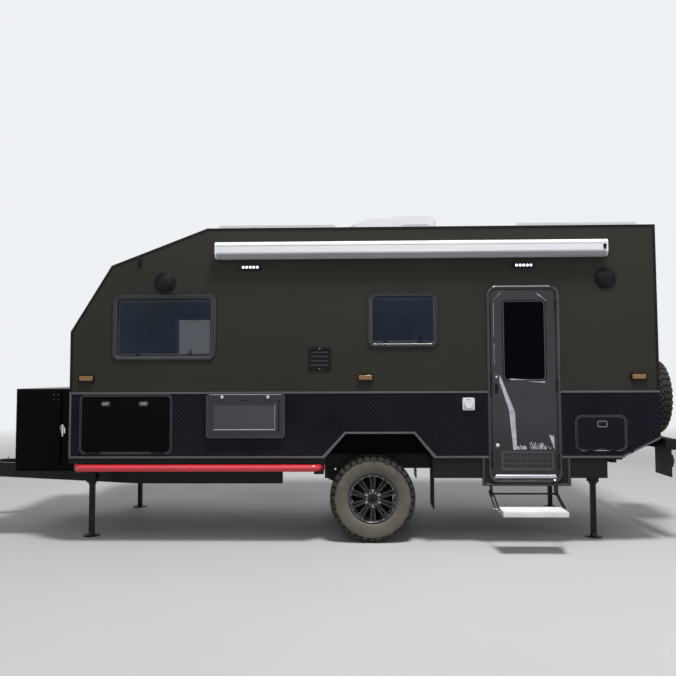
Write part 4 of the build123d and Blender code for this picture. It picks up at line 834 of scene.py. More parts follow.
NODE_FINISHES: dict[str, Finish] = {
    node: finish
    for finish, nodes in (
        (STEEL, "chassis side_members drawbar step_well suspension rear_bumper spare_carrier"),
        (STEEL, "step_arms step_links leg_front_left leg_front_right leg_rear_left leg_rear_right"),
        (ZINC, "coupling jockey_outer jockey_stem jockey_fork"),
        (OLIVE, "floor wall_left wall_right front_wall front_slope brow_panel roof rear_wall rear_slope"),
        (PLASTIC, "hatch_frames marker_lamps wall_fittings water_tanks tail_lamps"),
        (HATCH_SKIN, "front_box boot_hatch_left boot_hatch_right box_door_left box_door_right"),
        (RUBBER, "air_springs mudflaps jockey_wheel"),
        (ALLOY, "spare_rim rim_left rim_right"),
        (DOOR_GLOSS, "door_frame door_leaf"),
        (WHITE, "awning air_conditioner"),
        (ARCH_SHADE_STEEL, "wheel_arches"),
        (CHECKER, "lower_cladding"),
        (TRIM, "trims"),
        (GLOSS_FRAME, "window_frames"),
        (GLASS, "window_panes"),
        (DOOR_GLASS, "door_glass"),
        (SOLAR, "solar_panels"),
        (RED, "side_rails"),
        (LOCKER_SKIN, "rear_hatch"),
        (LAMINATE, "table_leaf"),
        (STEP_SILVER, "step_tread"),
    )
    for node in nodes.split()
}


def dress_nodes() -> None:
    """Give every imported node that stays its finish."""
    for name, finish in NODE_FINISHES.items():
        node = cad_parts[name]
        made = finish.material()
        if not node.material_slots:
            node.data.materials.append(made)
        for slot in node.material_slots:
            slot.material = made


@dataclass
class Shell:
    """The body's edge mouldings, the joint in its cladding and the strips along its sill."""

    front: float = 1.620
    rear: float = 7.076
    belt: float = 1.402
    nose: float = 1.968
    slope_top: Pair = (2.000, 2.590)
    roof_front: Pair = (2.905, 2.937)
    moulding: float = 0.022
    proud: float = 0.0025

    def build(self) -> None:
        """Make the mouldings along the edges, the upright joint strips and the sill strips."""
        path = [
            (self.front, self.belt), (self.front, self.nose), self.slope_top, self.roof_front,
            (self.rear, self.roof_front[1]), (self.rear, self.belt),
        ]
        path = [(x, up(height)) for x, height in path]
        edge = Form()
        joint = Form()
        for side, _ in SIDES:
            ring = path[::-1]
            outer = shrunk(ring, -self.proud)
            inner = shrunk(ring, self.moulding)
            outer[0] = (self.rear + self.proud, path[-1][1])
            inner[0] = (self.rear - self.moulding, path[-1][1])
            outer[-1] = (self.front - self.proud, path[0][1])
            inner[-1] = (self.front + self.moulding, path[0][1])
            edge.prism(outer + inner[::-1], spread(side, HALF_WIDTH - self.moulding, HALF_WIDTH + self.proud))
            joint.block(
                about(CLADDING_JOINT_X, 0.004), proud(side, WALL_FACE, 0.0015),
                levels(1.012 if side == DOOR_SIDE else 0.812, 1.384),
            )
        edge.piece("edge_mouldings", PLASTIC)
        joint.piece("cladding_joints", CHECKER)
        sill = Form()
        for side, _ in SIDES:
            gaps = (5.011, 5.445, 6.257, 6.725) if side == DOOR_SIDE else (5.011, 6.725)
            ends = (self.front, 4.005, *gaps)
            for run in zip(ends[::2], ends[1::2]):
                sill.block(run, spread(side, 1.1405, HALF_WIDTH - 0.0005), levels(0.773, 0.7895), 0.001)
        sill.piece("sill_strips", PLASTIC)


@dataclass
class TreadPlate:
    """The raised bars of the checker plate on both sides of the body."""

    x: Pair = (1.640, 7.056)
    height: Pair = (0.812, 1.380)
    pitch: float = 0.0232
    bar: Pair = (0.0125, 0.0036)
    rise: float = 0.0013
    arch: tuple[Pair, ...] = ((3.985, 0.79), (5.031, 0.79), (4.842, 1.034), (4.188, 1.034))
    tail: tuple[Pair, Pair] = ((6.725, 0.81), (7.076, 0.99))
    tail_gap: float = 0.01
    joint_gap: float = 0.012
    hatches: tuple[tuple[Pair, Pair], ...] = (((1.712, 2.595), (0.822, 1.387)),)
    door_side: tuple[tuple[Pair, Pair], ...] = (
        ((2.906, 3.647), (0.971, 1.387)), ((5.500, 6.186), (0.79, 1.402)), ((6.294, 6.776), (0.846, 1.186)),
        ((5.275, 5.392), (1.220, 1.345)),
    )

    def blocked(self, x: float, height: float, side: int) -> bool:
        """Whether a bar at a spot would meet the arch, a hatch, the door or the tail's slope."""
        rooms = self.hatches + (self.door_side if side == DOOR_SIDE else ())
        if any(low[0] < x < low[1] and high[0] < height < high[1] for low, high in rooms):
            return True
        (front_foot, base), (rear_foot, _), (rear_top, top), (front_top, _) = self.arch
        share = (height - base) / (top - base)
        front = front_foot + share * (front_top - front_foot)
        rear = rear_foot - share * (rear_foot - rear_top)
        if (share < 1 and front < x < rear) or abs(x - CLADDING_JOINT_X) < self.joint_gap:
            return True
        start, end = self.tail
        slope = start[1] + (x - start[0]) * (end[1] - start[1]) / (end[0] - start[0])
        return x > start[0] and height < slope + self.tail_gap

    def bars(self, form: Form, side: int) -> None:
        """Add every bar of one side.

        Args:
            form: The form to add to.
            side: The side of the body.
        """
        half, width = self.bar
        face = side * WALL_FACE
        top = side * (WALL_FACE + self.rise)
        rows = int((self.height[1] - self.height[0]) / self.pitch)
        columns = int((self.x[1] - self.x[0]) / self.pitch)
        for row in range(rows):
            for column in range(columns):
                x = self.x[0] + (column + 0.5) * self.pitch
                height = self.height[0] + (row + 0.5) * self.pitch
                if self.blocked(x, height, side):
                    continue
                turn = radians(45 if (row + column) % 2 else -45)
                along = (cos(turn), sin(turn))
                foot = [(-half, 0), (-half * 0.5, -width), (half * 0.5, -width), (half, 0)]
                foot += [(half * 0.5, width), (-half * 0.5, width)]
                crown = [(a * 0.62, b * 0.42) for a, b in foot]
                points = [
                    (x + a * along[0] - b * along[1], y, up(height) + a * along[1] + b * along[0])
                    for ring, y in ((foot, face), (crown, top))
                    for a, b in ring
                ]
                form.add(points, ring_faces(6, 2) + [cap(6, 6)])

    def build(self) -> None:
        """Make the bars on both sides."""
        for side, name in SIDES:
            form = Form()
            self.bars(form, side)
            form.piece(f"tread_bars_{name}", CHECKER)


@dataclass
class Window:
    """One framed window: its seals, rim, pane line, blind frame and catches."""

    name: str
    x: Pair
    height: Pair
    side: int
    blind: bool = False
    corner: float = 0.066
    proud: float = 0.014

    def build_blind(self, z: Pair) -> None:
        """Make the pleated blind, pulled down behind the pane."""
        pleats = 24
        points = []
        for row in range(pleats + 1):
            out = self.side * (HALF_WIDTH - 0.060 + 0.006 * (row % 2))
            height = z[0] + 0.046 + (z[1] - z[0] - 0.092) * row / pleats
            points += [(x, out, height) for x in grown(self.x, -0.047)]
        cloth = Form()
        cloth.add(points, [(2 * row, 2 * row + 1, 2 * row + 3, 2 * row + 2) for row in range(pleats)])
        cloth.piece(f"{self.name}_blind", BLIND, sharp=10.0)

    def build(self) -> None:
        """Make the window's fittings, and its blind if it has one."""
        z = levels(*self.height)
        seal = Form()
        seal.frame(
            self.x, z, (0.004, -0.003), (self.corner + 0.004, self.corner - 0.003),
            proud(self.side, HALF_WIDTH, 0.006),
        )
        light_outer = rounded(grown(self.x, -0.044), grown(z, -0.036), 0.040, 8)
        light_inner = rounded(grown(self.x, -0.053), grown(z, -0.045), 0.032, 8)
        seal.band(light_outer, light_inner, wall(self.side, 0.004, 0.0125))
        seal.piece(f"{self.name}_seals", RUBBER)
        rim = Form()
        face = HALF_WIDTH + self.proud
        section = [
            (0.0004, face - 0.001), (0.007, face + 0.005), (0.020, face + 0.006), (0.029, face + 0.003)
        ]
        rim.bead(self.x, z, self.corner, self.side, section + [(0.034, face - 0.001)])
        rim.piece(f"{self.name}_rim", GLOSS_FRAME)
        line = Form()
        section = [
            (0.0, face - 0.001), (0.0012, face + 0.0012), (0.0036, face + 0.0012), (0.0048, face - 0.001)
        ]
        line.bead(grown(self.x, -0.038), grown(z, -0.030), 0.046, self.side, section)
        line.piece(f"{self.name}_pane_line", TRIM)
        blind = Form()
        blind_outer = rounded(grown(self.x, 0.01), grown(z, 0.01), self.corner, 8)
        blind_inner = rounded(grown(self.x, -0.045), grown(z, -0.037), 0.04, 8)
        blind.band(blind_outer, blind_inner, wall(self.side, -0.066, -0.0375))
        bar_x = grown(self.x, -0.05)
        for share in (0.0, 0.985):
            low = z[0] + 0.045 + share * (z[1] - z[0] - 0.105)
            blind.block(bar_x, wall(self.side, -0.062, -0.048), (low, low + 0.018))
        blind.piece(f"{self.name}_blind_frame", LINER)
        catches = Form()
        foot = z[0] + 0.045
        for share in (0.25, 0.75):
            x = self.x[0] + share * (self.x[1] - self.x[0])
            catches.block(about(x, 0.022), wall(self.side, -0.02, 0.004), (foot, foot + 0.02))
            catches.block(about(x, 0.006), wall(self.side, -0.034, -0.018), (foot + 0.004, foot + 0.055))
        catches.piece(f"{self.name}_catches", PLASTIC)
        if self.blind:
            self.build_blind(z)


@dataclass
class EntryDoor:
    """What is fitted to the entry door and its frame."""

    frame_x: Pair = (5.508, 6.178)
    frame_height: Pair = (0.562, 2.377)
    frame_face: float = 1.162
    window_x: Pair = (5.665, 6.037)
    window_height: Pair = (1.507, 2.227)
    handle_x: Pair = (5.566, 5.612)
    handle_height: Pair = (1.348, 1.566)
    grille_x: Pair = (5.623, 6.099)
    grille_height: Pair = (0.681, 0.852)
    well_x: Pair = (5.448, 6.254)
    well_height: Pair = (0.536, 0.789)
    kick_height: float = 0.604
    hinge: Pair = (6.141, -1.168)
    hinge_heights: tuple[float, ...] = (0.76, 1.45, 2.18)
    lock: Pair = (5.592, 0.905)
    film_seed: int = 7
    film_gap: float = 0.0012
    film_slivers: tuple[int, int] = (46, 20)
    body: str = "entry_door"

    def build(self) -> None:
        """Make all the door's fittings."""
        self.build_frame()
        self.build_window()
        self.build_handle()
        self.build_grille()
        self.build_film()

    def build_frame(self) -> None:
        """Make the frame's seal, its bead with a thin pale line that paints a highlight, the bright strip
        along the top that paints a highlight, the kick strip, the well's trim and the hinges.
        """
        z = levels(*self.frame_height)
        face = self.frame_face
        rims = Form()
        rims.frame(self.frame_x, z, (0.003, -0.004), (0.093, 0.086), wall(DOOR_SIDE, 0.0, 0.007), 10)
        rims.piece("door_frame_seal", RUBBER)
        bead = [
            (0.0004, -0.001), (0.004, 0.004), (0.013, 0.009), (0.022, 0.009), (0.028, 0.004), (0.0335, -0.001)
        ]
        # The thin pale line along the frame's bead is a painted highlight, standing in for the light caught
        # by the glossy frame's edges.
        fine = [(0.0135, 0.0085), (0.014, 0.0102), (0.0162, 0.0102), (0.0167, 0.0085)]
        for section, name, finish in (
            (bead, "door_frame_bead", DOOR_GLOSS), (fine, "door_frame_highlight_line", DULL_TRIM)
        ):
            line = Form()
            corners = [(inward, face + out) for inward, out in section]
            line.bead(self.frame_x, z, 0.090, DOOR_SIDE, corners, 10)
            line.piece(name, finish)
        # A bright strip along the frame's top: a painted highlight standing in for the light caught by the
        # glossy frame's top edge.
        top_highlight = Form()
        y = (-face - 0.0125, -face - 0.008)
        top_highlight.block(grown(self.frame_x, -0.085), y, (z[1] - 0.012, z[1] - 0.0055), 0.0015)
        top_highlight.piece("door_frame_top_highlight", BRIGHT)
        strip = Form()
        foot = up(self.kick_height)
        ends = grown(self.frame_x, -0.048)
        outline = [
            (ends[0], foot), (ends[1], foot), (ends[1] - 0.016, foot + 0.034), (ends[0] + 0.016, foot + 0.034)
        ]
        strip.prism(outline, proud(DOOR_SIDE, LEAF_FACE, 0.009), 0.006)
        strip.piece("door_kick_strip", BRIGHT, self.body)
        self.build_well_trim()
        hinges = Form()
        for height in self.hinge_heights:
            for low in (-0.06, -0.03, 0.0, 0.03):
                hinges.lathe(
                    [
                        (0.0075, 0.001), (0.0075, 0.004), (0.0065, 0.005), (0.0065, 0.024), (0.0075, 0.025),
                        (0.0075, 0.029),
                    ],
                    (*self.hinge, up(height) + low),
                    UPWARD,
                    16,
                )
        hinges.piece("door_hinge_collars", STEEL)

    def build_well_trim(self) -> None:
        """Make the dark trim round the step well, below the frame, with a fine bright line that paints its
        highlight.
        """
        low, high = levels(*self.well_height)
        width = 0.030
        sides = (self.well_x[0], self.well_x[1] - width)
        trim = Form()
        # The fine bright lines on the trim are a painted highlight.
        line = Form()
        for x in sides:
            trim.block((x, x + width), wall(DOOR_SIDE, -0.012, 0.010), (low, high), 0.004)
            line.block((x + 0.012, x + 0.016), wall(DOOR_SIDE, 0.009, 0.0115), (low, high), 0.0008)
        run = grown(self.well_x, -width)
        trim.block(run, wall(DOOR_SIDE, -0.012, 0.008), (low, low + 0.024), 0.004)
        line.block(run, wall(DOOR_SIDE, 0.007, 0.0095), (low + 0.014, low + 0.017), 0.0008)
        trim.piece("well_trim", DOOR_GLOSS)
        line.piece("well_trim_highlight_line", DULL_TRIM)

    def build_window(self) -> None:
        """Make the pale border and the seal round the door's window."""
        z = levels(*self.window_height)
        border = Form()
        border.frame(self.window_x, z, (0.006, -0.002), (0.030, 0.024), proud(DOOR_SIDE, LEAF_FACE, 0.002), 6)
        border.piece("door_window_border", GREY_PLASTIC, self.body)
        seal = Form()
        seal.frame(self.window_x, z, (0.016, 0.007), (0.04, 0.031), proud(DOOR_SIDE, LEAF_FACE, 0.004), 6)
        seal.piece("door_window_seal", RUBBER, self.body)

    def build_handle(self) -> None:
        """Make the handle's outlined plate, its paddle and the locks."""
        z = levels(*self.handle_height)
        face = LEAF_FACE + 0.018
        rim = Form()
        rim.frame(
            self.handle_x, z, (0.004, -0.004), (0.016, 0.008), spread(DOOR_SIDE, LEAF_FACE, face + 0.002), 6
        )
        rim.piece("door_handle_rim", GREY_PLASTIC, self.body)
        paddle = Form()
        middle = sum(self.handle_x) / 2
        paddle.prism(
            rounded(about(middle, 0.014), (z[0] + 0.03, z[0] + 0.125), 0.008, 4),
            spread(DOOR_SIDE, face, face + 0.014), 0.004,
        )
        paddle.piece("door_handle_paddle", PLASTIC, self.body)
        locks = Form()
        locks.lathe(
            [(0.011, 0), (0.011, 0.003), (0.009, 0.005), (0.003, 0.005), (0.003, 0.002), (0, 0.002)],
            (middle, -face, z[1] - 0.035), DOORWARD, 20,
        )
        locks.lathe(
            [(0.017, -0.001), (0.017, 0.006), (0.013, 0.009), (0.004, 0.009), (0.004, 0.004), (0, 0.004)],
            (self.lock[0], -LEAF_FACE, up(self.lock[1])), DOORWARD, 24,
        )
        locks.piece("door_locks", CHROME, self.body)

    def build_grille(self) -> None:
        """Make the grille's lighter face plate over its slots, with its screws."""
        columns, rows, margin, bar = 20, 3, 0.014, 0.007
        z = levels(*self.grille_height)
        pitch_x = (self.grille_x[1] - self.grille_x[0] - 2 * margin) / columns
        pitch_z = (z[1] - z[0] - 2 * margin) / rows
        face = LEAF_FACE + 0.008
        plate = Form()
        y = spread(DOOR_SIDE, face - 0.002, face + 0.0015)
        for column in range(columns + 1):
            x = self.grille_x[0] + margin + column * pitch_x
            plate.block(about(x, bar / 2), y, grown(z, -margin), 0.0008)
        for row in range(rows + 1):
            height = z[0] + margin + row * pitch_z
            plate.block(grown(self.grille_x, -margin), y, about(height, bar / 2), 0.0008)
        outer = rounded(self.grille_x, z, 0.014, 4)
        inner = rounded(grown(self.grille_x, -margin + 0.002), grown(z, -margin + 0.002), 0.003, 4)
        plate.band(outer, inner, y)
        for x, height in product(grown(self.grille_x, -0.008), grown(z, -0.008)):
            plate.screw((x, -face - 0.0015, height), DOORWARD, 0.004, 0.002)
        plate.piece("door_grille_plate", GREY_PLASTIC, self.body)

    def build_film(self) -> None:
        """Make the peeling pieces of protective film, crumpled at their lower ends."""
        rolls = random.Random(self.film_seed)
        base = -LEAF_FACE - self.film_gap
        pieces = (
            ((5.600, 1.545), (5.625, 1.545), (5.755, 1.205), (5.768, 0.865), (5.735, 0.862), (5.700, 1.230)),
            ((6.060, 1.000), (6.112, 0.86), (6.105, 0.99)),
            ((5.715, 1.515), (6.036, 1.492), (6.034, 1.474), (5.715, 1.504)),
            ((5.572, 2.215), (5.575, 2.215), (5.575, 1.905), (5.572, 1.905)),
            ((5.572, 1.840), (5.576, 1.840), (5.574, 1.640), (5.572, 1.640)),
        )
        film = Form()
        for outline in pieces:
            points = [(x, base - rolls.random() * 0.003, up(height)) for x, height in outline]
            film.add(points, [tuple(range(len(points)))])
        for _ in range(self.film_slivers[0]):
            x = 5.765 + 0.305 * rolls.random()
            tall = 0.015 + 0.055 * rolls.random() * abs(sin((x - 5.74) * 9))
            spot = (x, 0.862 + 0.012 * rolls.random())
            self.sliver(
                film, rolls, spot, ((rolls.random() - 0.5) * 0.05, tall), 0.003 + 0.007 * rolls.random()
            )
        for low, high, fall in ((5.573, 5.640, 1), (5.960, 6.045, -1)):
            for _ in range(self.film_slivers[1]):
                share = rolls.random()
                height = 2.238 + 0.066 * (share if fall > 0 else 1 - share) + 0.012 * rolls.random()
                reach = 0.012 + 0.030 * rolls.random()
                spot = (low + (high - low) * share, height)
                self.sliver(film, rolls, spot, (reach, fall * reach * (0.5 + rolls.random())), 0.0025)
        film.piece("door_film", FILM, self.body, sharp=20.0)

    def sliver(self, film: Form, rolls: random.Random, spot: Pair, way: Pair, wide: float) -> None:
        """Add one thin torn sliver of film.

        Args:
            film: The form to add to.
            rolls: Where its unevenness comes from.
            spot: Its foot's X and height.
            way: How far its tip lies along X and up.
            wide: Its width.
        """
        x, foot = spot
        lean, tall = way
        outline = (
            (x, foot), (x + wide, foot + 0.003), (x + wide + lean, foot + tall), (x + lean, foot + tall * 0.9)
        )
        base = -LEAF_FACE - self.film_gap
        points = [(px, base - rolls.random() * 0.006, up(height)) for px, height in outline]
        film.add(points, [(0, 1, 2, 3)])


@dataclass
class Hatch:
    """The bright outline and the latches of one side hatch."""

    name: str
    x: Pair
    height: Pair
    corner: float
    side: int
    body: str
    latches: tuple[Pair, ...] = ()
    handle: tuple[Pair, Pair] | None = None
    rim: float = 0.014

    def build(self) -> None:
        """Make the outline, its inner line, the latches and the handle."""
        z = levels(*self.height)
        line = Form()
        section = [(0.0, 1.1555), (0.0015, 1.1595), (0.0042, 1.1595), (0.006, 1.1565)]
        line.bead(self.x, z, self.corner, self.side, section)
        line.piece(f"{self.name}_outline", DULL_TRIM)
        inset = Form()
        inset.frame(
            self.x, z, (-self.rim, -self.rim - 0.004),
            (self.corner - self.rim, self.corner - self.rim - 0.004), proud(self.side, LEAF_FACE, 0.0015),
        )
        inset.piece(f"{self.name}_leaf_line", DULL_TRIM, self.body)
        if self.latches:
            self.build_latches()
        if self.handle:
            self.build_handle(self.handle)

    def build_latches(self) -> None:
        """Make the oval latch knobs."""
        knobs = Form()
        grips = Form()
        for x, height in self.latches:
            cup = rounded(about(x, 0.043), about(up(height), 0.023), 0.020, 6)
            knobs.prism(cup, proud(self.side, LEAF_FACE, 0.006), 0.003)
            grip = rounded(about(x, 0.028), about(up(height), 0.009), 0.0085, 5)
            grips.prism(grip, spread(self.side, LEAF_FACE + 0.005, LEAF_FACE + 0.016), 0.003)
        knobs.piece(f"{self.name}_latches", GREY_PLASTIC, self.body)
        grips.piece(f"{self.name}_latch_grips", ZINC, self.body)

    def build_handle(self, room: tuple[Pair, Pair]) -> None:
        """Make the paddle handle in its dish.

        Args:
            room: Its range along X and its range of heights.
        """
        x, height = room
        z = levels(*height)
        foot = Form()
        low = up(self.height[0])
        foot.block(
            grown(self.x, -self.corner), spread(self.side, 1.1565, 1.1602), (low + 0.0005, low + 0.0055),
            0.001,
        )
        foot.piece(f"{self.name}_foot_line", BRIGHT)
        dish = Form()
        outer = rounded(x, z, 0.012, 5)
        inner = rounded(grown(x, -0.006), grown(z, -0.006), 0.007, 5)
        dish.band(outer, inner, proud(self.side, LEAF_FACE, 0.005))
        dish.piece(f"{self.name}_handle_rim", ZINC, self.body)
        paddle = Form()
        paddle.prism(
            rounded(grown(x, -0.008), grown(z, -0.008), 0.006, 4),
            spread(self.side, LEAF_FACE, LEAF_FACE + 0.003),
        )
        paddle.prism(
            rounded(grown(x, -0.014), (z[0] + 0.024, z[1] - 0.014), 0.005, 4),
            spread(self.side, LEAF_FACE + 0.002, LEAF_FACE + 0.010), 0.002,
        )
        paddle.piece(f"{self.name}_handle_paddle", PLASTIC, self.body)


@dataclass
class FoldTable:
    """The sunk panel, edging, knobs and slots of the fold-down table."""

    x: Pair = (2.914, 3.639)
    height: Pair = (0.979, 1.378)
    face: float = 1.1935
    recess: float = 0.004
    body: str = "table"

    def build(self) -> None:
        """Make the table's fittings."""
        z = levels(*self.height)
        inner_x = (self.x[0] + 0.068, self.x[1] - 0.090)
        inner_z = (z[0] + 0.075, z[1] - 0.093)
        panel = Form()
        panel.prism(
            rounded(grown(inner_x, -0.001), grown(inner_z, -0.001), 0.008, 4),
            spread(DOOR_SIDE, self.face - self.recess - 0.0005, self.face - self.recess + 0.0012),
        )
        panel.piece("table_panel", LAMINATE_PANEL, self.body)
        # Bright strips along the sunk panel's lower and rear edges and along the top of the edging: painted
        # highlights standing in for light caught by these edges.
        bright = Form()
        y = spread(DOOR_SIDE, self.face - self.recess, self.face + 0.0015)
        bright.block(grown(inner_x, 0.001), y, (inner_z[0] - 0.004, inner_z[0] + 0.003), 0.001)
        bright.block((inner_x[1] - 0.002, inner_x[1] + 0.002), y, inner_z, 0.0008)
        top = grown(self.x, -0.030)
        bright.block(
            top, spread(DOOR_SIDE, self.face - 0.006, self.face + 0.0018), (z[1] - 0.004, z[1] + 0.001), 0.001
        )
        bright.piece("table_panel_edge_highlights", BRIGHT, self.body)
        edging = Form()
        outer = rounded(self.x, z, 0.024, 6)
        inner = rounded(grown(self.x, -0.004), grown(z, -0.004), 0.02, 6)
        edging.band(outer, inner, spread(DOOR_SIDE, self.face - 0.002, self.face + 0.0012))
        edging.piece("table_edging", DULL_TRIM, self.body)
        self.build_knobs()

    def build_knobs(self) -> None:
        """Make the two turn knobs, the finger slot and the dashed slots at the rear end."""
        knobs = Form()
        for x in (3.059, 3.484):
            knobs.lathe(
                [(0.015, -0.001), (0.015, 0.004), (0.009, 0.006), (0.009, 0.013), (0.006, 0.016), (0, 0.016)],
                (x, -self.face, up(1.355)), DOORWARD, 20,
            )
            knobs.block(
                about(x, 0.004), (-self.face - 0.018, -self.face - 0.008), levels(1.338, 1.372), 0.0015
            )
        knobs.piece("table_knobs", CHROME, self.body)
        slots = Form()
        slots.prism(
            rounded((3.238, 3.314), levels(1.318, 1.327), 0.004, 4), proud(DOOR_SIDE, self.face, 0.0006)
        )
        for index in range(8):
            low = 1.030 + index * 0.038
            slots.block((3.579, 3.592), proud(DOOR_SIDE, self.face, 0.0006), levels(low, low + 0.031), 0.0002)
        slots.piece("table_slots", PLASTIC, self.body)


@dataclass
class AwningCase:
    """The awning cassette's grey face, end cap fittings, crank socket and the lamps under it."""

    x: Pair = (2.994, 6.610)
    height: Pair = (2.641, 2.793)
    face: float = 1.252
    lamps: tuple[float, ...] = (3.314, 5.858)

    def build(self) -> None:
        """Make the cassette's details."""
        grey = Form()
        base = up(self.height[0])
        run = grown(self.x, -0.016)
        grey.strip(
            [
                (-(self.face + 0.0012), base + 0.036), (-(self.face + 0.0012), base + 0.050),
                (-self.face, base + 0.052), (-self.face, base + 0.034), (-(self.face - 0.012), base + 0.022),
                (-(self.face - 0.026), base), (-(self.face - 0.029), base - 0.0012),
                (-(self.face - 0.012), base + 0.0195),
            ],
            run,
        )
        grey.piece("awning_lead_rail", AWNING_GREY)
        caps = Form()
        for x, way in ((self.x[0], -1), (self.x[1], 1)):
            for height in (base + 0.03, base + 0.12):
                caps.screw((x, -1.20, height), (way, 0, 0), 0.006, 0.003)
            caps.block(about(x, 0.002), (-(self.face - 0.01), -1.158), (base + 0.045, base + 0.05), 0.0005)
        caps.piece("awning_cap_details", GREY_PLASTIC)
        socket = Form()
        x = self.x[1] - 0.03
        socket.lathe(
            [(0.016, -0.002), (0.016, 0.004), (0.013, 0.006), (0.009, 0.006), (0.009, 0.001), (0, 0.001)],
            (x, -self.face - 0.001, base + 0.088), DOORWARD, 20,
        )
        socket.block(about(x, 0.012), (-self.face - 0.002, -self.face + 0.003), (base + 0.055, base + 0.072))
        socket.piece("awning_crank_socket", PLASTIC)
        self.build_lamps()

    def build_lamps(self) -> None:
        """Make the bright lenses of the two lamps, five in each."""
        lens = Form()
        ring = Form()
        low = up(self.height[0] - 0.056 - 0.042)
        for x in self.lamps:
            for index in range(5):
                spot = (x - 0.066 + index * 0.033, -1.174, low + 0.021)
                lens.lathe(
                    [(0.0115, -0.001), (0.0105, 0.002), (0.006, 0.0042), (0, 0.005)], spot, DOORWARD, 16
                )
                ring.lathe(
                    [(0.0145, -0.001), (0.0145, 0.003), (0.012, 0.003), (0.012, -0.001)], spot, DOORWARD, 16
                )
        lens.piece("lamp_lenses", LED)
        ring.piece("lamp_lens_rings", CHROME)


@dataclass
class WallFittings:
    """What is fitted on the side: vent grilles, louvre screws, inlet, lamp bases and the hook."""

    domes: tuple[tuple[float, float, float], ...] = ((2.508, 2.431, 0.102), (6.610, 2.443, 0.100))
    louvre_x: Pair = (3.857, 4.067)
    louvre_height: Pair = (1.601, 1.809)
    inlet_x: Pair = (5.279, 5.386)
    inlet_height: Pair = (1.227, 1.337)
    markers: tuple[float, ...] = (1.777, 4.385, 6.890)
    marker_height: Pair = (1.490, 1.560)

    def build(self) -> None:
        """Make every fitting."""
        self.build_domes()
        self.build_louvre()
        self.build_inlet()
        self.build_markers()
        self.build_small()

    def build_domes(self) -> None:
        """Make the ring and the round slots of each domed vent."""
        rings = Form()
        for index, (x, height, radius) in enumerate(self.domes):
            spot = (x, -HALF_WIDTH, up(height))
            for share in (0.36, 0.62, 0.8):
                size = radius * share
                rise = 0.034 * (1 - share**2 * 0.72)
                profile = [(0.003, -0.004), (0.003, 0.0002), (0, 0.0016), (-0.003, 0.0002), (-0.003, -0.004)]
                rings.lathe([(size + out, rise + along) for out, along in profile], spot, DOORWARD, 48)
            if index:
                rings.block(
                    about(x, radius * 0.86), (-HALF_WIDTH - 0.037, -HALF_WIDTH - 0.01),
                    about(up(height), 0.003),
                )
        rings.piece("vent_rings", PLASTIC)

    def build_louvre(self) -> None:
        """Make the louvre's screws and its dark rim line."""
        screws = Form()
        middle = sum(self.louvre_x) / 2
        for height in grown(self.louvre_height, -0.012):
            screws.screw((middle, -1.162, up(height)), DOORWARD, 0.006, 0.003)
        screws.piece("louvre_screws", ZINC)
        rim = Form()
        z = levels(*self.louvre_height)
        rim.frame(self.louvre_x, z, (-0.002, -0.006), (0.007, 0.004), spread(DOOR_SIDE, 1.1615, 1.1635), 4)
        rim.piece("louvre_rim", PLASTIC)

    def build_inlet(self) -> None:
        """Make the power inlet's white plate, hinged cap and screws."""
        z = levels(*self.inlet_height)
        plate = Form()
        plate.prism(
            rounded(grown(self.inlet_x, 0.002), grown(z, 0.002), 0.011, 5),
            spread(DOOR_SIDE, 1.1535, 1.1665), 0.003,
        )
        middle = (sum(self.inlet_x) / 2, sum(z) / 2)
        plate.lathe(
            [(0.0435, 0.0), (0.0435, 0.012), (0.040, 0.0195), (0.030, 0.0215), (0.029, 0.0195), (0, 0.0195)],
            (middle[0], -1.1645, middle[1]), DOORWARD, 36,
        )
        plate.block(
            (middle[0] - 0.018, middle[0] + 0.018), (-1.188, -1.160), (z[1] - 0.012, z[1] + 0.004), 0.002
        )
        plate.piece("inlet_cover", WHITE)
        screws = Form()
        for x, height in product(grown(self.inlet_x, -0.009), grown(z, -0.009)):
            screws.screw((x, -1.1665, height), DOORWARD, 0.004, 0.002)
        screws.piece("inlet_screws", ZINC)

    def build_markers(self) -> None:
        """Make the dark base and the raised middle of each amber lamp."""
        base = Form()
        lens = Form()
        z = levels(*self.marker_height)
        for side, _ in SIDES:
            for x in self.markers:
                run = about(x, 0.07)
                base.band(
                    rounded(grown(run, 0.003), grown(z, 0.003), 0.021, 6),
                    rounded(grown(run, -0.007), grown(z, -0.007), 0.011, 6), proud(side, HALF_WIDTH, 0.0245),
                )
                lens.prism(
                    rounded(grown(run, -0.008), (z[0] + 0.019, z[1] - 0.008), 0.009, 5),
                    wall(side, 0.020, 0.0265), 0.003,
                )
        base.piece("marker_bases", PLASTIC)
        lens.piece("marker_lens_crowns", AMBER)

    def build_small(self) -> None:
        """Make the small lamp under the brow, and the awning hook by the rear hatch."""
        small = Form()
        small.block((2.252, 2.284), proud(DOOR_SIDE, HALF_WIDTH, 0.018), levels(2.580, 2.672), 0.006)
        small.lathe([(0.012, 0), (0.010, 0.006), (0, 0.008)], (2.268, -1.167, up(2.605)), DOORWARD, 16)
        hook_x = 6.809
        small.block(about(hook_x, 0.013), proud(DOOR_SIDE, WALL_FACE, 0.006), levels(0.833, 0.930), 0.002)
        small.tube(
            [
                (hook_x, -1.156, up(0.905)), (hook_x, -1.175, up(0.900)), (hook_x, -1.179, up(0.880)),
                (hook_x, -1.176, up(0.858)), (hook_x, -1.168, up(0.852)),
            ],
            0.005,
            10,
        )
        small.piece("side_lamp_and_hook", PLASTIC)


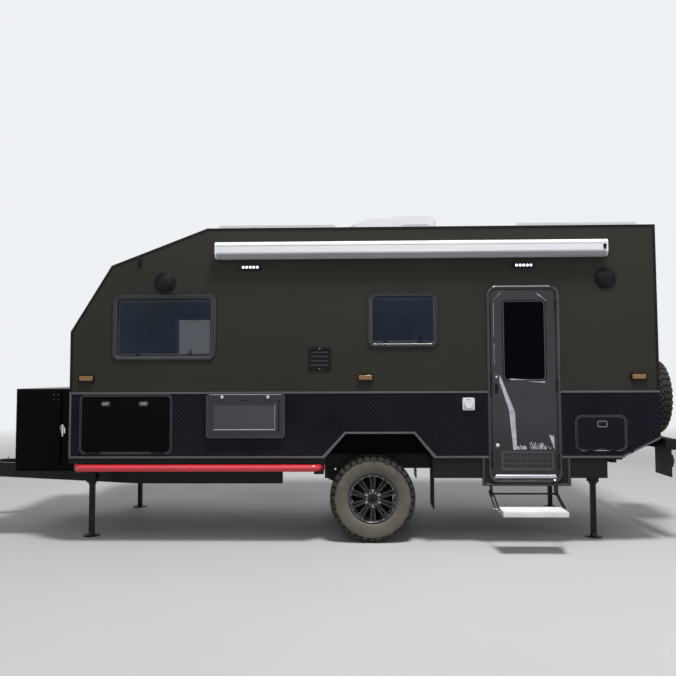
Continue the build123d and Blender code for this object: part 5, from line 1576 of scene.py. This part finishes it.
@dataclass
class WheelPart:
    """Something made round a wheel's axle."""

    name: str
    centre: Point
    outward: Point
    body: str

    def around(self, radius: float, turn: float, along: float) -> Point:
        """A point at a radius, a turn and a distance outward."""
        way = Vector(self.outward)
        first = Vector(UPWARD)
        second = way.cross(first)
        place = Vector(self.centre) + way * along
        return tuple(place + (first * cos(turn) + second * sin(turn)) * radius)

    def turned(
        self, part: str, finish: Finish, profile: list[Pair], steps: int, sharp: float = 35.0
    ) -> bpy.types.Object:
        """Turn a profile round the axle into a piece of its own.

        Args:
            part: What the piece is called after the wheel's name.
            finish: Its finish.
            profile: (distance from the axle, distance outward) corners.
            steps: Number of spans round the turn.
            sharp: Angle in degrees above which an edge stays crisp.

        Returns:
            The piece.
        """
        form = Form()
        form.lathe(profile, self.centre, self.outward, steps)
        return form.piece(f"{self.name}_{part}", finish, self.body, sharp)


@dataclass
class Tyre(WheelPart):
    """An off-road tyre with a plain sidewall and blocks round its tread."""

    replaces: str
    radius: float = 0.402
    half: float = 0.1325
    bead: float = 0.2135
    flange: float = 0.221
    block_depth: float = 0.013
    pitches: int = 36

    def crown(self, along: float) -> float:
        """Radius of the tread's face at a distance from the middle."""
        away = abs(along)
        return self.radius - 0.004 * (away / 0.1) ** 2 - 0.012 * max(0.0, (away - 0.09) / 0.03) ** 2

    def block(self, form: Form, outline: list[Pair]) -> None:
        """Add one tread block.

        Args:
            form: The form to add to.
            outline: (turn, distance outward) corners of its foot.
        """
        count = len(outline)
        middle = [sum(corner[i] for corner in outline) / count for i in (0, 1)]
        points = []
        for share, depth in ((1.0, self.block_depth + 0.004), (0.97, 0.002), (0.9, 0.0)):
            for corner in outline:
                turn, along = [middle[i] + (corner[i] - middle[i]) * share for i in (0, 1)]
                points.append(self.around(self.crown(along) - depth, turn, along))
        form.add(points, [cap(count, 2 * count)] + ring_faces(count, 3))

    def build(self) -> None:
        """Make the sidewalls and carcass, and the tread over it."""
        half, face = self.half, self.radius - self.block_depth
        side = [
            (self.bead, 0.078), (self.flange + 0.004, 0.090), (self.flange + 0.012, 0.108),
            (0.250, half - 0.0150), (0.270, half - 0.0085), (0.290, half - 0.0045), (0.310, half - 0.0025),
            (0.330, half - 0.0025), (0.350, half - 0.0050), (0.362, half - 0.0080), (0.372, half - 0.012),
            (face - 0.006, half - 0.022), (face, half - 0.036),
        ]
        profile = [(r, -a) for r, a in side] + [(r, a) for r, a in reversed(side)]
        carcass = self.turned("carcass", SIDEWALL, profile + [(self.bead, -0.078)], 120, 50.0)
        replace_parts(carcass, self.replaces)
        band = [(0.351, half - 0.007), (0.353, half - 0.0035), (0.362, half - 0.006), (0.374, half - 0.011)]
        band += [(face - 0.004, half - 0.020), (face + 0.001, half - 0.036), (face + 0.001, 0.0)]
        outline = [(r, -a) for r, a in band] + [(r, a) for r, a in reversed(band[:-1])]
        self.turned("tread_base", RUBBER, outline + [(0.351, -(half - 0.007))], 96)
        self.build_tread()

    def build_tread(self) -> None:
        """Make the tread's blocks, two rows and a shoulder to each side."""
        tread = Form()
        step = 2 * pi / self.pitches
        for pitch in range(self.pitches):
            long = pitch % 2
            reach = self.half - (0.016 if long else 0.020)
            rows = (
                ((0.0, 0.078), (0.62, 0.074), (0.68, reach), (0.04, reach)),
                ((-0.04, 0.036), (0.30, 0.030), (0.62, 0.048), (0.56, 0.068), (0.1, 0.070)),
                ((0.2, 0.002), (0.72, 0.004), (0.86, 0.024), (0.42, 0.027), (0.22, 0.020)),
            )
            for way in (-1, 1):
                base = pitch * step + (step * 0.5 if way > 0 else 0.0)
                for row in rows:
                    self.block(tread, [(base + step * share, way * out) for share, out in row])
                    if row is rows[0]:
                        ends = (base + step * 0.06, base + step * (0.64 if long else 0.58))
                        self.shoulder(tread, ends, way, 0.343 if long else 0.356)
        tread.piece(f"{self.name}_tread", TYRE, self.body)

    def shoulder(self, form: Form, ends: Pair, way: int, foot: float) -> None:
        """Add the part of a shoulder block that runs down the sidewall.

        Args:
            form: The form to add to.
            ends: Its first and last turn.
            way: Which side of the tyre.
            foot: Radius that it reaches down to.
        """
        rows = (
            (self.crown(self.half - 0.018), self.half - 0.018), (0.381, self.half - 0.0075),
            (foot + 0.007, self.half + 0.0005), (foot, self.half - 0.004),
        )
        points = [
            self.around(radius - inward * 0.4, turn, way * (along - inward))
            for inward in (0.0, 0.012)
            for radius, along in rows
            for turn in ends
        ]
        faces = []
        for a in (0, 2, 4):
            faces.append((a, a + 1, a + 3, a + 2))
            faces.append((a, a + 2, 8 + a + 2, 8 + a))
            faces.append((a + 1, a + 3, 8 + a + 3, 8 + a + 1))
        form.add(points, faces + [(6, 7, 15, 14), (0, 1, 9, 8)])


@dataclass
class RimDressing(WheelPart):
    """The lip ring, lip bolts, wheel nuts, centre cap, valve and drum of one wheel."""

    lip: float = 0.221
    face: float = 0.106
    hub_face: float = 0.084
    bolt_circle: float = 0.070
    lip_bolts: int = 20
    hub_bolts: int = 12
    nuts: int = 6
    drum: float = 0.0

    def build(self) -> None:
        """Make the wheel's fittings."""
        lip, face = self.lip, self.face
        ring = [(lip - 0.004, face - 0.004), (lip, face + 0.001), (lip - 0.004, face + 0.003)]
        self.turned("lip_ring", ALLOY, ring + [(lip - 0.009, face - 0.001), ring[0]], 96)
        bolts = Form()
        for index in range(self.lip_bolts):
            turn = 2 * pi * (index + 0.5) / self.lip_bolts
            bolts.screw(self.around(lip - 0.0125, turn, face - 0.004), self.outward, 0.0036, 0.004)
        for index in range(self.hub_bolts):
            turn = 2 * pi * index / self.hub_bolts
            spot = self.around(self.bolt_circle * 0.8, turn, self.hub_face - 0.002)
            bolts.screw(spot, self.outward, 0.0062, 0.009)
        bolts.piece(f"{self.name}_bolts", CHROME, self.body)
        nuts = Form()
        for index in range(self.nuts):
            spot = self.around(self.bolt_circle, 2 * pi * index / self.nuts, self.hub_face - 0.012)
            nuts.lathe([(0.0105, 0.0), (0.0105, 0.020), (0.0085, 0.028), (0, 0.029)], spot, self.outward, 6)
            nuts.lathe([(0.014, 0.011), (0.014, 0.0135), (0.010, 0.0145)], spot, self.outward, 16)
        nuts.piece(f"{self.name}_nuts", ZINC, self.body)
        cover = Form()
        dome = [(0.049, 0.012), (0.047, 0.019), (0.040, 0.0215), (0.036, 0.0185)]
        dome += [(0.030, 0.0185), (0.026, 0.0215), (0, 0.023)]
        cover.lathe(dome, self.around(0, 0, self.hub_face - 0.006), self.outward, 40)
        cover.piece(f"{self.name}_centre_cap", PLASTIC, self.body)
        valve = Form()
        path = [
            self.around(radius, 0.157, out) for radius, out in ((0.196, 0.06), (0.190, 0.085), (0.184, 0.105))
        ]
        valve.tube(path, 0.004, 10)
        valve.piece(f"{self.name}_valve", RUBBER, self.body)
        if self.drum:
            drum = [(0.03, -0.034), (self.drum - 0.004, -0.034), (self.drum, -0.030), (self.drum, 0.036)]
            drum += [(self.drum - 0.010, 0.042), (0.110, 0.042), (0.104, 0.047), (0.03, 0.047)]
            # The drum takes the darker finish, painted shade behind the spokes.
            self.turned("drum", ARCH_SHADE_STEEL, drum, 72)


@dataclass
class Underbody:
    """Bolts, straps and plates fitted under the floor."""

    rail_track: float = 0.670
    rail_face: float = 0.695
    axle_x: float = 4.448
    bolt_x: tuple[float, ...] = (3.02, 3.16, 3.30, 3.44, 2.28, 2.42)
    bolt_heights: Pair = (0.62, 0.53)
    tanks: tuple[Pair, Pair] = ((2.42, 3.48), (5.11, 6.37))
    strap_places: tuple[float, ...] = (0.12, 0.5, 0.88)

    def build(self) -> None:
        """Make the chassis bolts, the tank straps and the side plates."""
        bolts = Form()
        for side, _ in SIDES:
            for x, height in product(self.bolt_x, self.bolt_heights):
                bolts.nut((x, side * self.rail_face, up(height)), (0, side, 0), 0.011, 0.010)
            pivot_x = self.axle_x - 0.416
            for way in (1, -1):
                spot = (pivot_x, side * (self.rail_track + way * 0.046), up(0.592))
                bolts.nut(spot, (0, side * way, 0), 0.020, 0.018)
            for x, dx in product((1.713, 6.565), (-0.03, 0.03)):
                bolts.nut((x + dx, side * 0.857, up(0.645)), (0, side, 0), 0.009, 0.008)
        bolts.piece("chassis_bolts", STEEL)
        straps = Form()
        for (front, rear), share in product(self.tanks, self.strap_places):
            run = about(front + share * (rear - front), 0.02)
            straps.block(run, (-0.563, 0.563), levels(0.609, 0.613), 0.001)
            for side, _ in SIDES:
                straps.block(run, spread(side, 0.5595, 0.5635), levels(0.609, 0.693), 0.001)
        straps.piece("tank_straps", ZINC)
        self.build_plates()

    def build_plates(self) -> None:
        """Make the flap clamps, the gussets ahead of the arches, the skirts' brackets and their bolts."""
        plates = Form()
        for side, _ in SIDES:
            plates.block((4.994, 5.003), spread(side, 0.86, 1.138), levels(0.735, 0.785), 0.001)
            plates.block((3.905, 3.998), spread(side, 1.131, 1.137), levels(0.640, 0.786), 0.001)
            for x in (5.06, 5.36) if side == DOOR_SIDE else (5.06, 5.42, 6.24):
                plates.block(about(x, 0.003), spread(side, 1.092, 1.139), levels(0.609, 0.74), 0.001)
        plates.piece("side_plates", STEEL)
        bolts = Form()
        for side, _ in SIDES:
            for height in (0.665, 0.730):
                bolts.nut((3.950, side * 1.137, up(height)), (0, side, 0), 0.010, 0.009)
            for y in (0.90, 1.00, 1.10):
                bolts.screw((5.003, side * y, up(0.76)), REARWARD, 0.007, 0.004)
        bolts.piece("side_plate_bolts", STEEL)


@dataclass
class SideRailFittings:
    """The red side rails: bent tubes, end flanges and clamp bands."""

    x: Pair = (1.700, 3.958)
    height: float = 0.700
    out: float = 1.170
    root: float = 1.090
    bend: float = 0.070
    radius: float = 0.033

    def build(self) -> None:
        """Make the bent tubes, their end flanges with bolts, and the clamp bands."""
        tubes = Form()
        for side, _ in SIDES:
            path = []
            for x, way in ((self.x[0], 1), (self.x[1], -1)):
                bend = [(x, self.root)]
                for step in range(13):
                    turn = pi / 2 * step / 12
                    out = self.out - self.bend * (1 - sin(turn))
                    bend.append((x + way * self.bend * (1 - cos(turn)), out))
                path += bend if way > 0 else bend[::-1]
            tubes.tube([(x, side * out, up(self.height)) for x, out in path], self.radius, 32)
        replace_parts(tubes.piece("side_rail_tubes", RED), "side_rails")
        flanges = Form()
        bolts = Form()
        inner, outer = self.radius + 0.0002, self.radius + 0.0022
        for side, _ in SIDES:
            for x in self.x:
                flanges.lathe(
                    [(0.05, 0.0), (0.05, 0.006), (0.036, 0.008), (0.0335, 0.02)],
                    (x, side * 1.0905, up(self.height)), (0, side, 0), 28,
                )
                for turn in range(4):
                    angle = pi / 4 + turn * pi / 2
                    spot = (x + 0.042 * cos(angle), side * 1.0962, up(self.height) + 0.042 * sin(angle))
                    bolts.nut(spot, (0, side, 0), 0.005, 0.005)
            for x in (1.90, 2.75, 3.70):
                flanges.lathe(
                    [(inner, 0), (outer, 0.001), (outer, 0.024), (inner, 0.025)],
                    (x, side * self.out, up(self.height)), REARWARD, 32,
                )
        flanges.piece("side_rail_flanges", RED)
        bolts.piece("side_rail_bolts", ZINC)


@dataclass
class Drawbar:
    """Chains, coupling parts, the jockey wheel's clamp and the front box's fittings."""

    route: tuple[Point, ...] = (
        (0.205, 0.124, 0.647), (0.150, 0.150, 0.628), (0.120, 0.156, 0.585), (0.150, 0.160, 0.540),
        (0.230, 0.168, 0.523), (0.300, 0.176, 0.540), (0.370, 0.186, 0.590), (0.395, 0.194, 0.645),
    )
    link: Pair = (0.017, 0.0045)
    jockey_x: float = 0.326
    jockey_tube: float = 0.0302
    box_x: Pair = (0.999, 1.613)
    box_half: float = 0.898
    latch_face: float = 0.901
    door_face: float = 0.9233

    def link_at(self, form: Form, spot: Vector, way: Vector, flat: Vector) -> None:
        """Add one chain link.

        Args:
            form: The form to add to.
            spot: Its middle.
            way: The direction of its length.
            flat: The direction across its opening.
        """
        half, wire = self.link
        path = []
        for step in range(16):
            turn = 2 * pi * step / 16
            shift = copysign(half * 0.55, cos(turn)) if abs(cos(turn)) > 0.01 else 0.0
            place = spot + way * (half * 0.75 * cos(turn) + shift) + flat * (
                half * 0.62 * sin(turn)
            )
            path.append(tuple(place))
        form.tube(path, wire, 8, closed=True)

    def build(self) -> None:
        """Make the chains, the coupling's parts and the front box's fittings."""
        chain = Form()
        for side, _ in SIDES:
            self.hang(chain, [Vector((x, side * y, up(height))) for x, y, height in self.route])
        chain.piece("safety_chains", ZINC)
        self.build_coupling()
        self.build_front_box()

    def hang(self, form: Form, route: list[Vector]) -> None:
        """Lay links along a route of straight runs.

        Args:
            form: The form to add to.
            route: Its corners.
        """
        spacing = self.link[0] * 1.95
        travelled = 0.0
        index = 0
        for start, end in zip(route, route[1:]):
            line = end - start
            way = line.normalized()
            flat = way.orthogonal().normalized()
            other = way.cross(flat)
            while travelled < line.length:
                self.link_at(form, start + way * travelled, way, flat if index % 2 else other)
                travelled += spacing
                index += 1
            travelled -= line.length

    def build_coupling(self) -> None:
        """Make the coupling's hand lever and bolts, and the jockey wheel's clamp."""
        lever = Form()
        top = up(0.666)
        lever.tube(
            [
                (0.035, 0, top), (0.06, 0, top + 0.035), (0.12, 0, top + 0.052), (0.19, 0, top + 0.056),
                (0.215, 0, top + 0.050),
            ],
            0.009,
            12,
        )
        lever.block((0.015, 0.075), (-0.016, 0.016), (top, top + 0.022), 0.004)
        lever.piece("coupling_lever", STEEL)
        bolts = Form()
        for x, y in product((0.245, 0.275), (-0.024, 0.024)):
            bolts.nut((x, y, top), UPWARD, 0.010, 0.012)
        bolts.piece("coupling_bolts", ZINC)
        clamp = Form()
        tube = self.jockey_tube
        clamp.lathe(
            [(tube, 0), (0.043, 0.0), (0.043, 0.045), (tube, 0.045)], (self.jockey_x, 0, up(0.641)),
            UPWARD, 32,
        )
        clamp.tube(
            [
                (self.jockey_x, y, up(height))
                for y, height in ((0.043, 0.663), (0.085, 0.663), (0.095, 0.675), (0.098, 0.73))
            ],
            0.006,
            10,
        )
        clamp.lathe(
            [(tube, 0.0), (0.034, 0.002), (0.034, 0.012), (tube, 0.014)], (self.jockey_x, 0, up(0.985)),
            UPWARD, 28,
        )
        clamp.piece("jockey_clamp", ZINC)

    def build_front_box(self) -> None:
        """Make the front box's edge angles, latches and bolts, and the drawbar's reflectors."""
        edges = Form()
        for side, _ in SIDES:
            out = spread(side, self.box_half, 0.9035)
            for x in ((self.box_x[0], 1.012), (1.600, self.box_x[1])):
                edges.block(x, out, levels(0.642, 1.428), 0.001)
            edges.block((1.012, 1.600), out, levels(1.418, 1.4305), 0.001)
        edges.block((0.998, 1.003), about(0.0, self.box_half), levels(1.395, 1.4305), 0.001)
        edges.block((self.box_x[0], 1.620), (-0.9025, 0.9025), levels(1.4295, 1.4325), 0.001)
        edges.piece("front_box_edges", CHECKER)
        for side, name in SIDES:
            latch = Form()
            face = self.latch_face
            latch.block((1.449, 1.470), proud(side, face, 0.014), levels(0.970, 1.092), 0.004)
            latch.block((1.436, 1.486), proud(side, face, 0.008), levels(1.000, 1.062), 0.003)
            hook = [
                (1.445, 1.035), (1.437, 1.055), (1.445, 1.075), (1.461, 1.080), (1.477, 1.072), (1.483, 1.050)
            ]
            latch.tube([(x, side * (face + 0.018), up(height)) for x, height in hook], 0.004, 8)
            latch.piece(f"box_latch_{name}", CHROME)
            bolts = Form()
            for x, height in product((1.375, 1.418), (1.325, 1.372)):
                bolts.screw((x, side * self.door_face, up(height)), (0, side, 0), 0.008, 0.005)
            bolts.piece(f"box_bolts_{name}", GREY_PLASTIC, f"box_{name}")
        marker = Form()
        for side, _ in SIDES:
            marker.block((1.036, 1.074), spread(side, 0.352, 0.3655), levels(0.578, 0.628), 0.003)
        marker.piece("drawbar_reflectors", CLEAR_LENS)


@dataclass
class EntryStep:
    """Ribs and end caps on the step's tread, and the pins' heads."""

    x: Pair = (5.561, 6.114)
    out: Pair = (1.2957, 1.5457)
    top: float = 0.3726

    def build(self) -> None:
        """Make the ribs, the tread's edges and the pins' heads."""
        ribs = Form()
        z = up(self.top)
        for index in range(12):
            out = self.out[0] + 0.018 + index * 0.0192
            ribs.block(grown(self.x, -0.012), (-out - 0.0045, -out + 0.0045), (z - 0.0005, z + 0.0022), 0.001)
        ribs.piece("step_tread_ribs", STEP_SILVER, "step_plate")
        ends = Form()
        for x in self.x:
            ends.block(
                about(x, 0.0035), (-self.out[1] - 0.001, -self.out[0] + 0.001), (z - 0.043, z + 0.001), 0.0015
            )
        ends.block(self.x, (-self.out[1] - 0.002, -self.out[1] + 0.001), (z - 0.040, z - 0.006), 0.001)
        ends.piece("step_tread_edges", STEP_SILVER, "step_plate")
        heads = Form()
        for x, out, height, rise in ((5.5478, 1.4207, 0.3506, 0.004), (5.5238, 1.3411, 0.3589, 0.005)):
            heads.nut((x, -out, up(height)), (-1, 0, 0), 0.009, rise)
            heads.nut((sum(self.x) - x, -out, up(height)), REARWARD, 0.009, rise)
        heads.piece("step_pin_heads", ZINC, "step_plate")


@dataclass
class CornerLeg:
    """Pad rim, weld collar, pin and adjusting holes of one corner leg."""

    name: str
    x: float
    y: float
    body: str

    def build(self) -> None:
        """Make the leg's fittings."""
        side = 1 if self.y > 0 else -1
        parts = Form()
        parts.lathe(
            [(0.075, 0.0005), (0.0765, 0.004), (0.0765, 0.013), (0.070, 0.015), (0.05, 0.0135)],
            (self.x, self.y, up(0.0)), UPWARD, 40,
        )
        parts.lathe([(0.040, 0), (0.033, 0.012), (0.024, 0.03)], (self.x, self.y, up(0.013)), UPWARD, 24)
        parts.piece(f"{self.name}_collars", STEEL, self.body)
        pin = Form()
        for way in (side, -side):
            pin.nut((self.x, self.y + way * 0.030, up(0.560)), (0, way, 0), 0.012, 0.008)
        for index in range(9):
            spot = (self.x, self.y + side * 0.023, up(0.09 + index * 0.042))
            pin.lathe(
                [(0.0065, -0.0002), (0.0065, 0.001), (0.0045, 0.001), (0.0045, -0.0002)], spot, (0, side, 0),
                16,
            )
        pin.piece(f"{self.name}_pin", STEEL, self.body)


@dataclass
class Tail:
    """The tail's lamp lenses, its blank plate and its bolts."""

    lamp_y: Pair = (0.730, 1.020)
    lamp_height: Pair = (0.690, 0.800)
    plate_y: Pair = (-0.70, -0.18)
    plate_height: Pair = (0.858, 0.942)

    def build(self) -> None:
        """Make the tail's fittings."""
        middle_y = sum(self.lamp_y) / 2
        height = sum(self.lamp_height) / 2
        pitch = (self.lamp_y[1] - self.lamp_y[0]) / 3
        finishes = (("amber", AMBER, 1), ("red", RED_LENS, 0), ("clear", CLEAR_LENS, -1))
        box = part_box("tail_lamps")[1].x
        for name, finish, place in finishes:
            lens = Form()
            for side, _ in SIDES:
                spot = (box - 0.001, side * (middle_y + place * pitch), up(height))
                lens.lathe(
                    [(0.0405, -0.010), (0.0405, 0.0), (0.037, 0.004), (0.022, 0.0065), (0, 0.007)], spot,
                    REARWARD, 32,
                )
            lens.piece(f"tail_lens_{name}", finish)
        plate = Form()
        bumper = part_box("rear_bumper")[1]
        plate.block((bumper.x, bumper.x + 0.003), self.plate_y, levels(*self.plate_height), 0.001)
        plate.piece("blank_plate", WHITE)
        bits = Form()
        for y in (-0.66, -0.22):
            bits.screw((bumper.x + 0.003, y, up(0.9)), REARWARD, 0.006, 0.003)
        for side, _ in SIDES:
            for x in (7.10, 7.13):
                bits.nut((x, side * 0.695, up(0.90)), (0, side, 0), 0.010, 0.009)
            for y in (0.74, 1.00):
                bits.screw((7.212, side * y, up(0.83)), REARWARD, 0.007, 0.004)
        bits.piece("tail_bolts", ZINC)


@dataclass
class RoofGear:
    """Fittings on the roof: the air conditioner's seams and the solar mounts' bolts."""

    conditioner_x: Pair = (4.236, 5.154)
    roof: float = 2.937
    fans: Pair = (4.86, 5.03)
    fan_out: float = 0.16
    fan_radius: float = 0.056
    mounts: Pair = (2.984, 5.850)
    mount_bolts: tuple[float, ...] = (0.03, 0.09, 1.03, 1.09)

    def build(self) -> None:
        """Make the roof's fittings."""
        seam = Form()
        z = up(self.roof)
        rings = ((0.012, 0.362, 0.10, 0.0), (0.012, 0.362, 0.10, 0.02), (0.001, 0.351, 0.091, 0.024))
        points = [
            (x, y, z + rise)
            for by, half, corner, rise in rings
            for x, y in rounded(grown(self.conditioner_x, by), about(0.0, half), corner, 8)
        ]
        seam.add(points, ring_faces(len(points) // len(rings), len(rings)))
        seam.piece("conditioner_gasket", RUBBER)
        fans = Form()
        for x in self.fans:
            for side, _ in SIDES:
                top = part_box("air_conditioner")[1].z
                inner, y = self.fan_radius, side * self.fan_out
                fans.lathe(
                    [(0.062, -0.001), (0.062, 0.002), (inner, 0.003), (inner, -0.001)], (x, y, top),
                    UPWARD, 36,
                )
                for turn in range(6):
                    angle = pi * turn / 6
                    dx, dy = inner * cos(angle), inner * sin(angle)
                    fans.tube([(x - dx, y - dy, top + 0.001), (x + dx, y + dy, top + 0.001)], 0.002, 6)
        fans.piece("conditioner_fan_guards", PLASTIC)
        bolts = Form()
        for start, away, (side, _) in product(self.mounts, self.mount_bolts, SIDES):
            bolts.screw((start + away, side * 0.987, up(2.955)), (0, side, 0), 0.007, 0.004)
        bolts.piece("solar_mount_bolts", ZINC)


@dataclass
class Studio:
    """The floor, the soft lights, the pale world and the camera."""

    eye: Point = (4.3115, -7.835, 0.9751)
    turn: float = 0.0267
    pitch: float = 0.0597
    roll: float = -0.004
    focal_pixels: float = 719.35
    image_pixels: int = 676
    principal_drop: float = 5.59
    floor_half: float = 40.0

    def build(self) -> None:
        """Make the whole setting."""
        self.build_floor()
        self.build_world()
        self.build_lights()
        self.build_camera()

    def build_floor(self) -> None:
        """Lay the pale floor at the ground's height."""
        mesh = bpy.data.meshes.new("studio_floor")
        half, z = self.floor_half, up(0.0)
        mesh.from_pydata(
            [(-half, -half, z), (half, -half, z), (half, half, z), (-half, half, z)], [], [(0, 1, 2, 3)]
        )
        mesh.materials.append(FLOOR.material())
        floor = bpy.data.objects.new("studio_floor", mesh)
        bpy.context.scene.collection.objects.link(floor)

    def build_world(self) -> None:
        """Set a pale world that lights softly and shows almost white."""
        world = bpy.data.worlds.new("studio_world")
        world.use_nodes = True
        nodes, links = world.node_tree.nodes, world.node_tree.links
        nodes.clear()
        shades = []
        for colour, strength in (((0.86, 0.9, 1.0, 1.0), 0.26), ((0.86, 0.88, 0.9, 1.0), 1.0)):
            shade = nodes.new("ShaderNodeBackground")
            shade.inputs["Color"].default_value = colour
            shade.inputs["Strength"].default_value = strength
            shades.append(shade.outputs[0])
        rays = nodes.new("ShaderNodeLightPath").outputs
        seen = rays["Is Camera Ray"]
        for kind in ("Is Transmission Ray", "Is Glossy Ray"):
            either = nodes.new("ShaderNodeMath")
            either.operation = "MAXIMUM"
            links.new(seen, either.inputs[0])
            links.new(rays[kind], either.inputs[1])
            seen = either.outputs[0]
        mix = nodes.new("ShaderNodeMixShader")
        for place, output in enumerate((seen, *shades)):
            links.new(output, mix.inputs[place])
        links.new(mix.outputs[0], nodes.new("ShaderNodeOutputWorld").inputs["Surface"])
        bpy.context.scene.world = world

    def build_lights(self) -> None:
        """Hang large soft lights round the object."""
        places = (
            ("key", (5.9, -4.6, 11.4), (4.3, 0.0, 1.0), 2.0, 1560.0),
            ("fill", (1.0, -11.0, 10.5), (4.3, 0.0, 1.0), 7.0, 260.0),
            ("side", (14.0, -4.0, 5.0), (4.6, 0.0, 0.8), 8.0, 160.0),
            ("back", (3.0, 12.0, 8.0), (4.3, 0.0, 1.0), 9.0, 520.0),
        )
        for name, place, aim, size, power in places:
            light = bpy.data.lights.new(name, "AREA")
            light.shape = "SQUARE"
            light.size = size
            light.energy = power
            lamp = bpy.data.objects.new(name, light)
            lamp.location = place
            lamp.rotation_euler = (Vector(aim) - Vector(place)).to_track_quat("-Z", "Y").to_euler()
            bpy.context.scene.collection.objects.link(lamp)

    def build_camera(self) -> None:
        """Stand the camera where the photograph was taken."""
        lens = bpy.data.cameras.new("photo_camera")
        lens.sensor_width = 36.0
        lens.lens = self.focal_pixels / self.image_pixels * lens.sensor_width
        lens.shift_y = -self.principal_drop / self.image_pixels
        camera = bpy.data.objects.new("photo_camera", lens)
        level = Matrix.Rotation(self.turn, 4, "Z") @ Matrix.Rotation(pi / 2 + self.pitch, 4, "X")
        camera.matrix_world = Matrix.Translation(self.eye) @ level @ Matrix.Rotation(self.roll, 4, "Z")
        bpy.context.scene.collection.objects.link(camera)
        bpy.context.scene.camera = camera
        bpy.context.scene.view_settings.view_transform = "Standard"


@dataclass
class Caravan:
    """All the sub-assemblies, in the order they are made."""

    wheels: tuple[tuple[str, str, Point, Point, str], ...] = (
        ("wheel_left", "tyre_left", (4.448, -0.960, up(0.402)), DOORWARD, "wheel_left"),
        ("wheel_right", "tyre_right", (4.448, 0.960, up(0.402)), (0, 1, 0), "wheel_right"),
        ("spare_wheel", "spare_tyre", (7.405, 0.0, up(1.312)), REARWARD, "trailer"),
    )
    legs: tuple[tuple[str, float, float, str], ...] = (
        ("leg_fl", 1.713, -0.783, "corner_fl"), ("leg_fr", 1.713, 0.783, "corner_fr"),
        ("leg_rl", 6.565, -0.783, "corner_rl"), ("leg_rr", 6.565, 0.783, "corner_rr"),
    )
    drum: float = 0.188

    def gather(self) -> list[object]:
        """List every sub-assembly.

        Returns:
            The sub-assemblies in the order they are built.
        """
        parts: list[object] = [Shell(), TreadPlate()]
        latches = ((1.962, 1.292), (2.318, 1.292))
        for side, name in SIDES:
            blind = side == FAR_SIDE
            parts.append(Window(f"front_window_{name}", (2.014, 2.990), (1.698, 2.316), side))
            parts.append(Window(f"middle_window_{name}", (4.408, 5.062), (1.809, 2.322), side, blind))
            boot = f"boot_{name}"
            parts.append(Hatch(boot, (1.719, 2.588), (0.829, 1.380), 0.050, side, boot, latches))
        handle = ((6.502, 6.591), (1.069, 1.127))
        parts.append(Hatch("locker", (6.301, 6.769), (0.853, 1.179), 0.060, DOOR_SIDE, "locker", (), handle))
        parts += [EntryDoor(), FoldTable(), AwningCase(), WallFittings()]
        for name, tyre, centre, outward, body in self.wheels:
            parts.append(Tyre(name, centre, outward, body, tyre))
            drum = 0.0 if body == "trailer" else self.drum
            parts.append(RimDressing(f"{name}_rim", centre, outward, body, drum=drum))
        parts += [Underbody(), SideRailFittings(), Drawbar(), EntryStep(), Tail(), RoofGear()]
        return parts + [CornerLeg(*leg) for leg in self.legs]

    def build(self) -> None:
        """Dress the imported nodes, then build each sub-assembly."""
        dress_nodes()
        for part in self.gather():
            log.info("building %s", type(part).__name__)
            part.build()


def main() -> None:
    """Build the dressed caravan and its studio."""
    logging.basicConfig(level=logging.INFO, format="%(message)s")
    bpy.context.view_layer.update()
    Caravan().build()
    Studio().build()


if __name__ == "__main__":
    main()
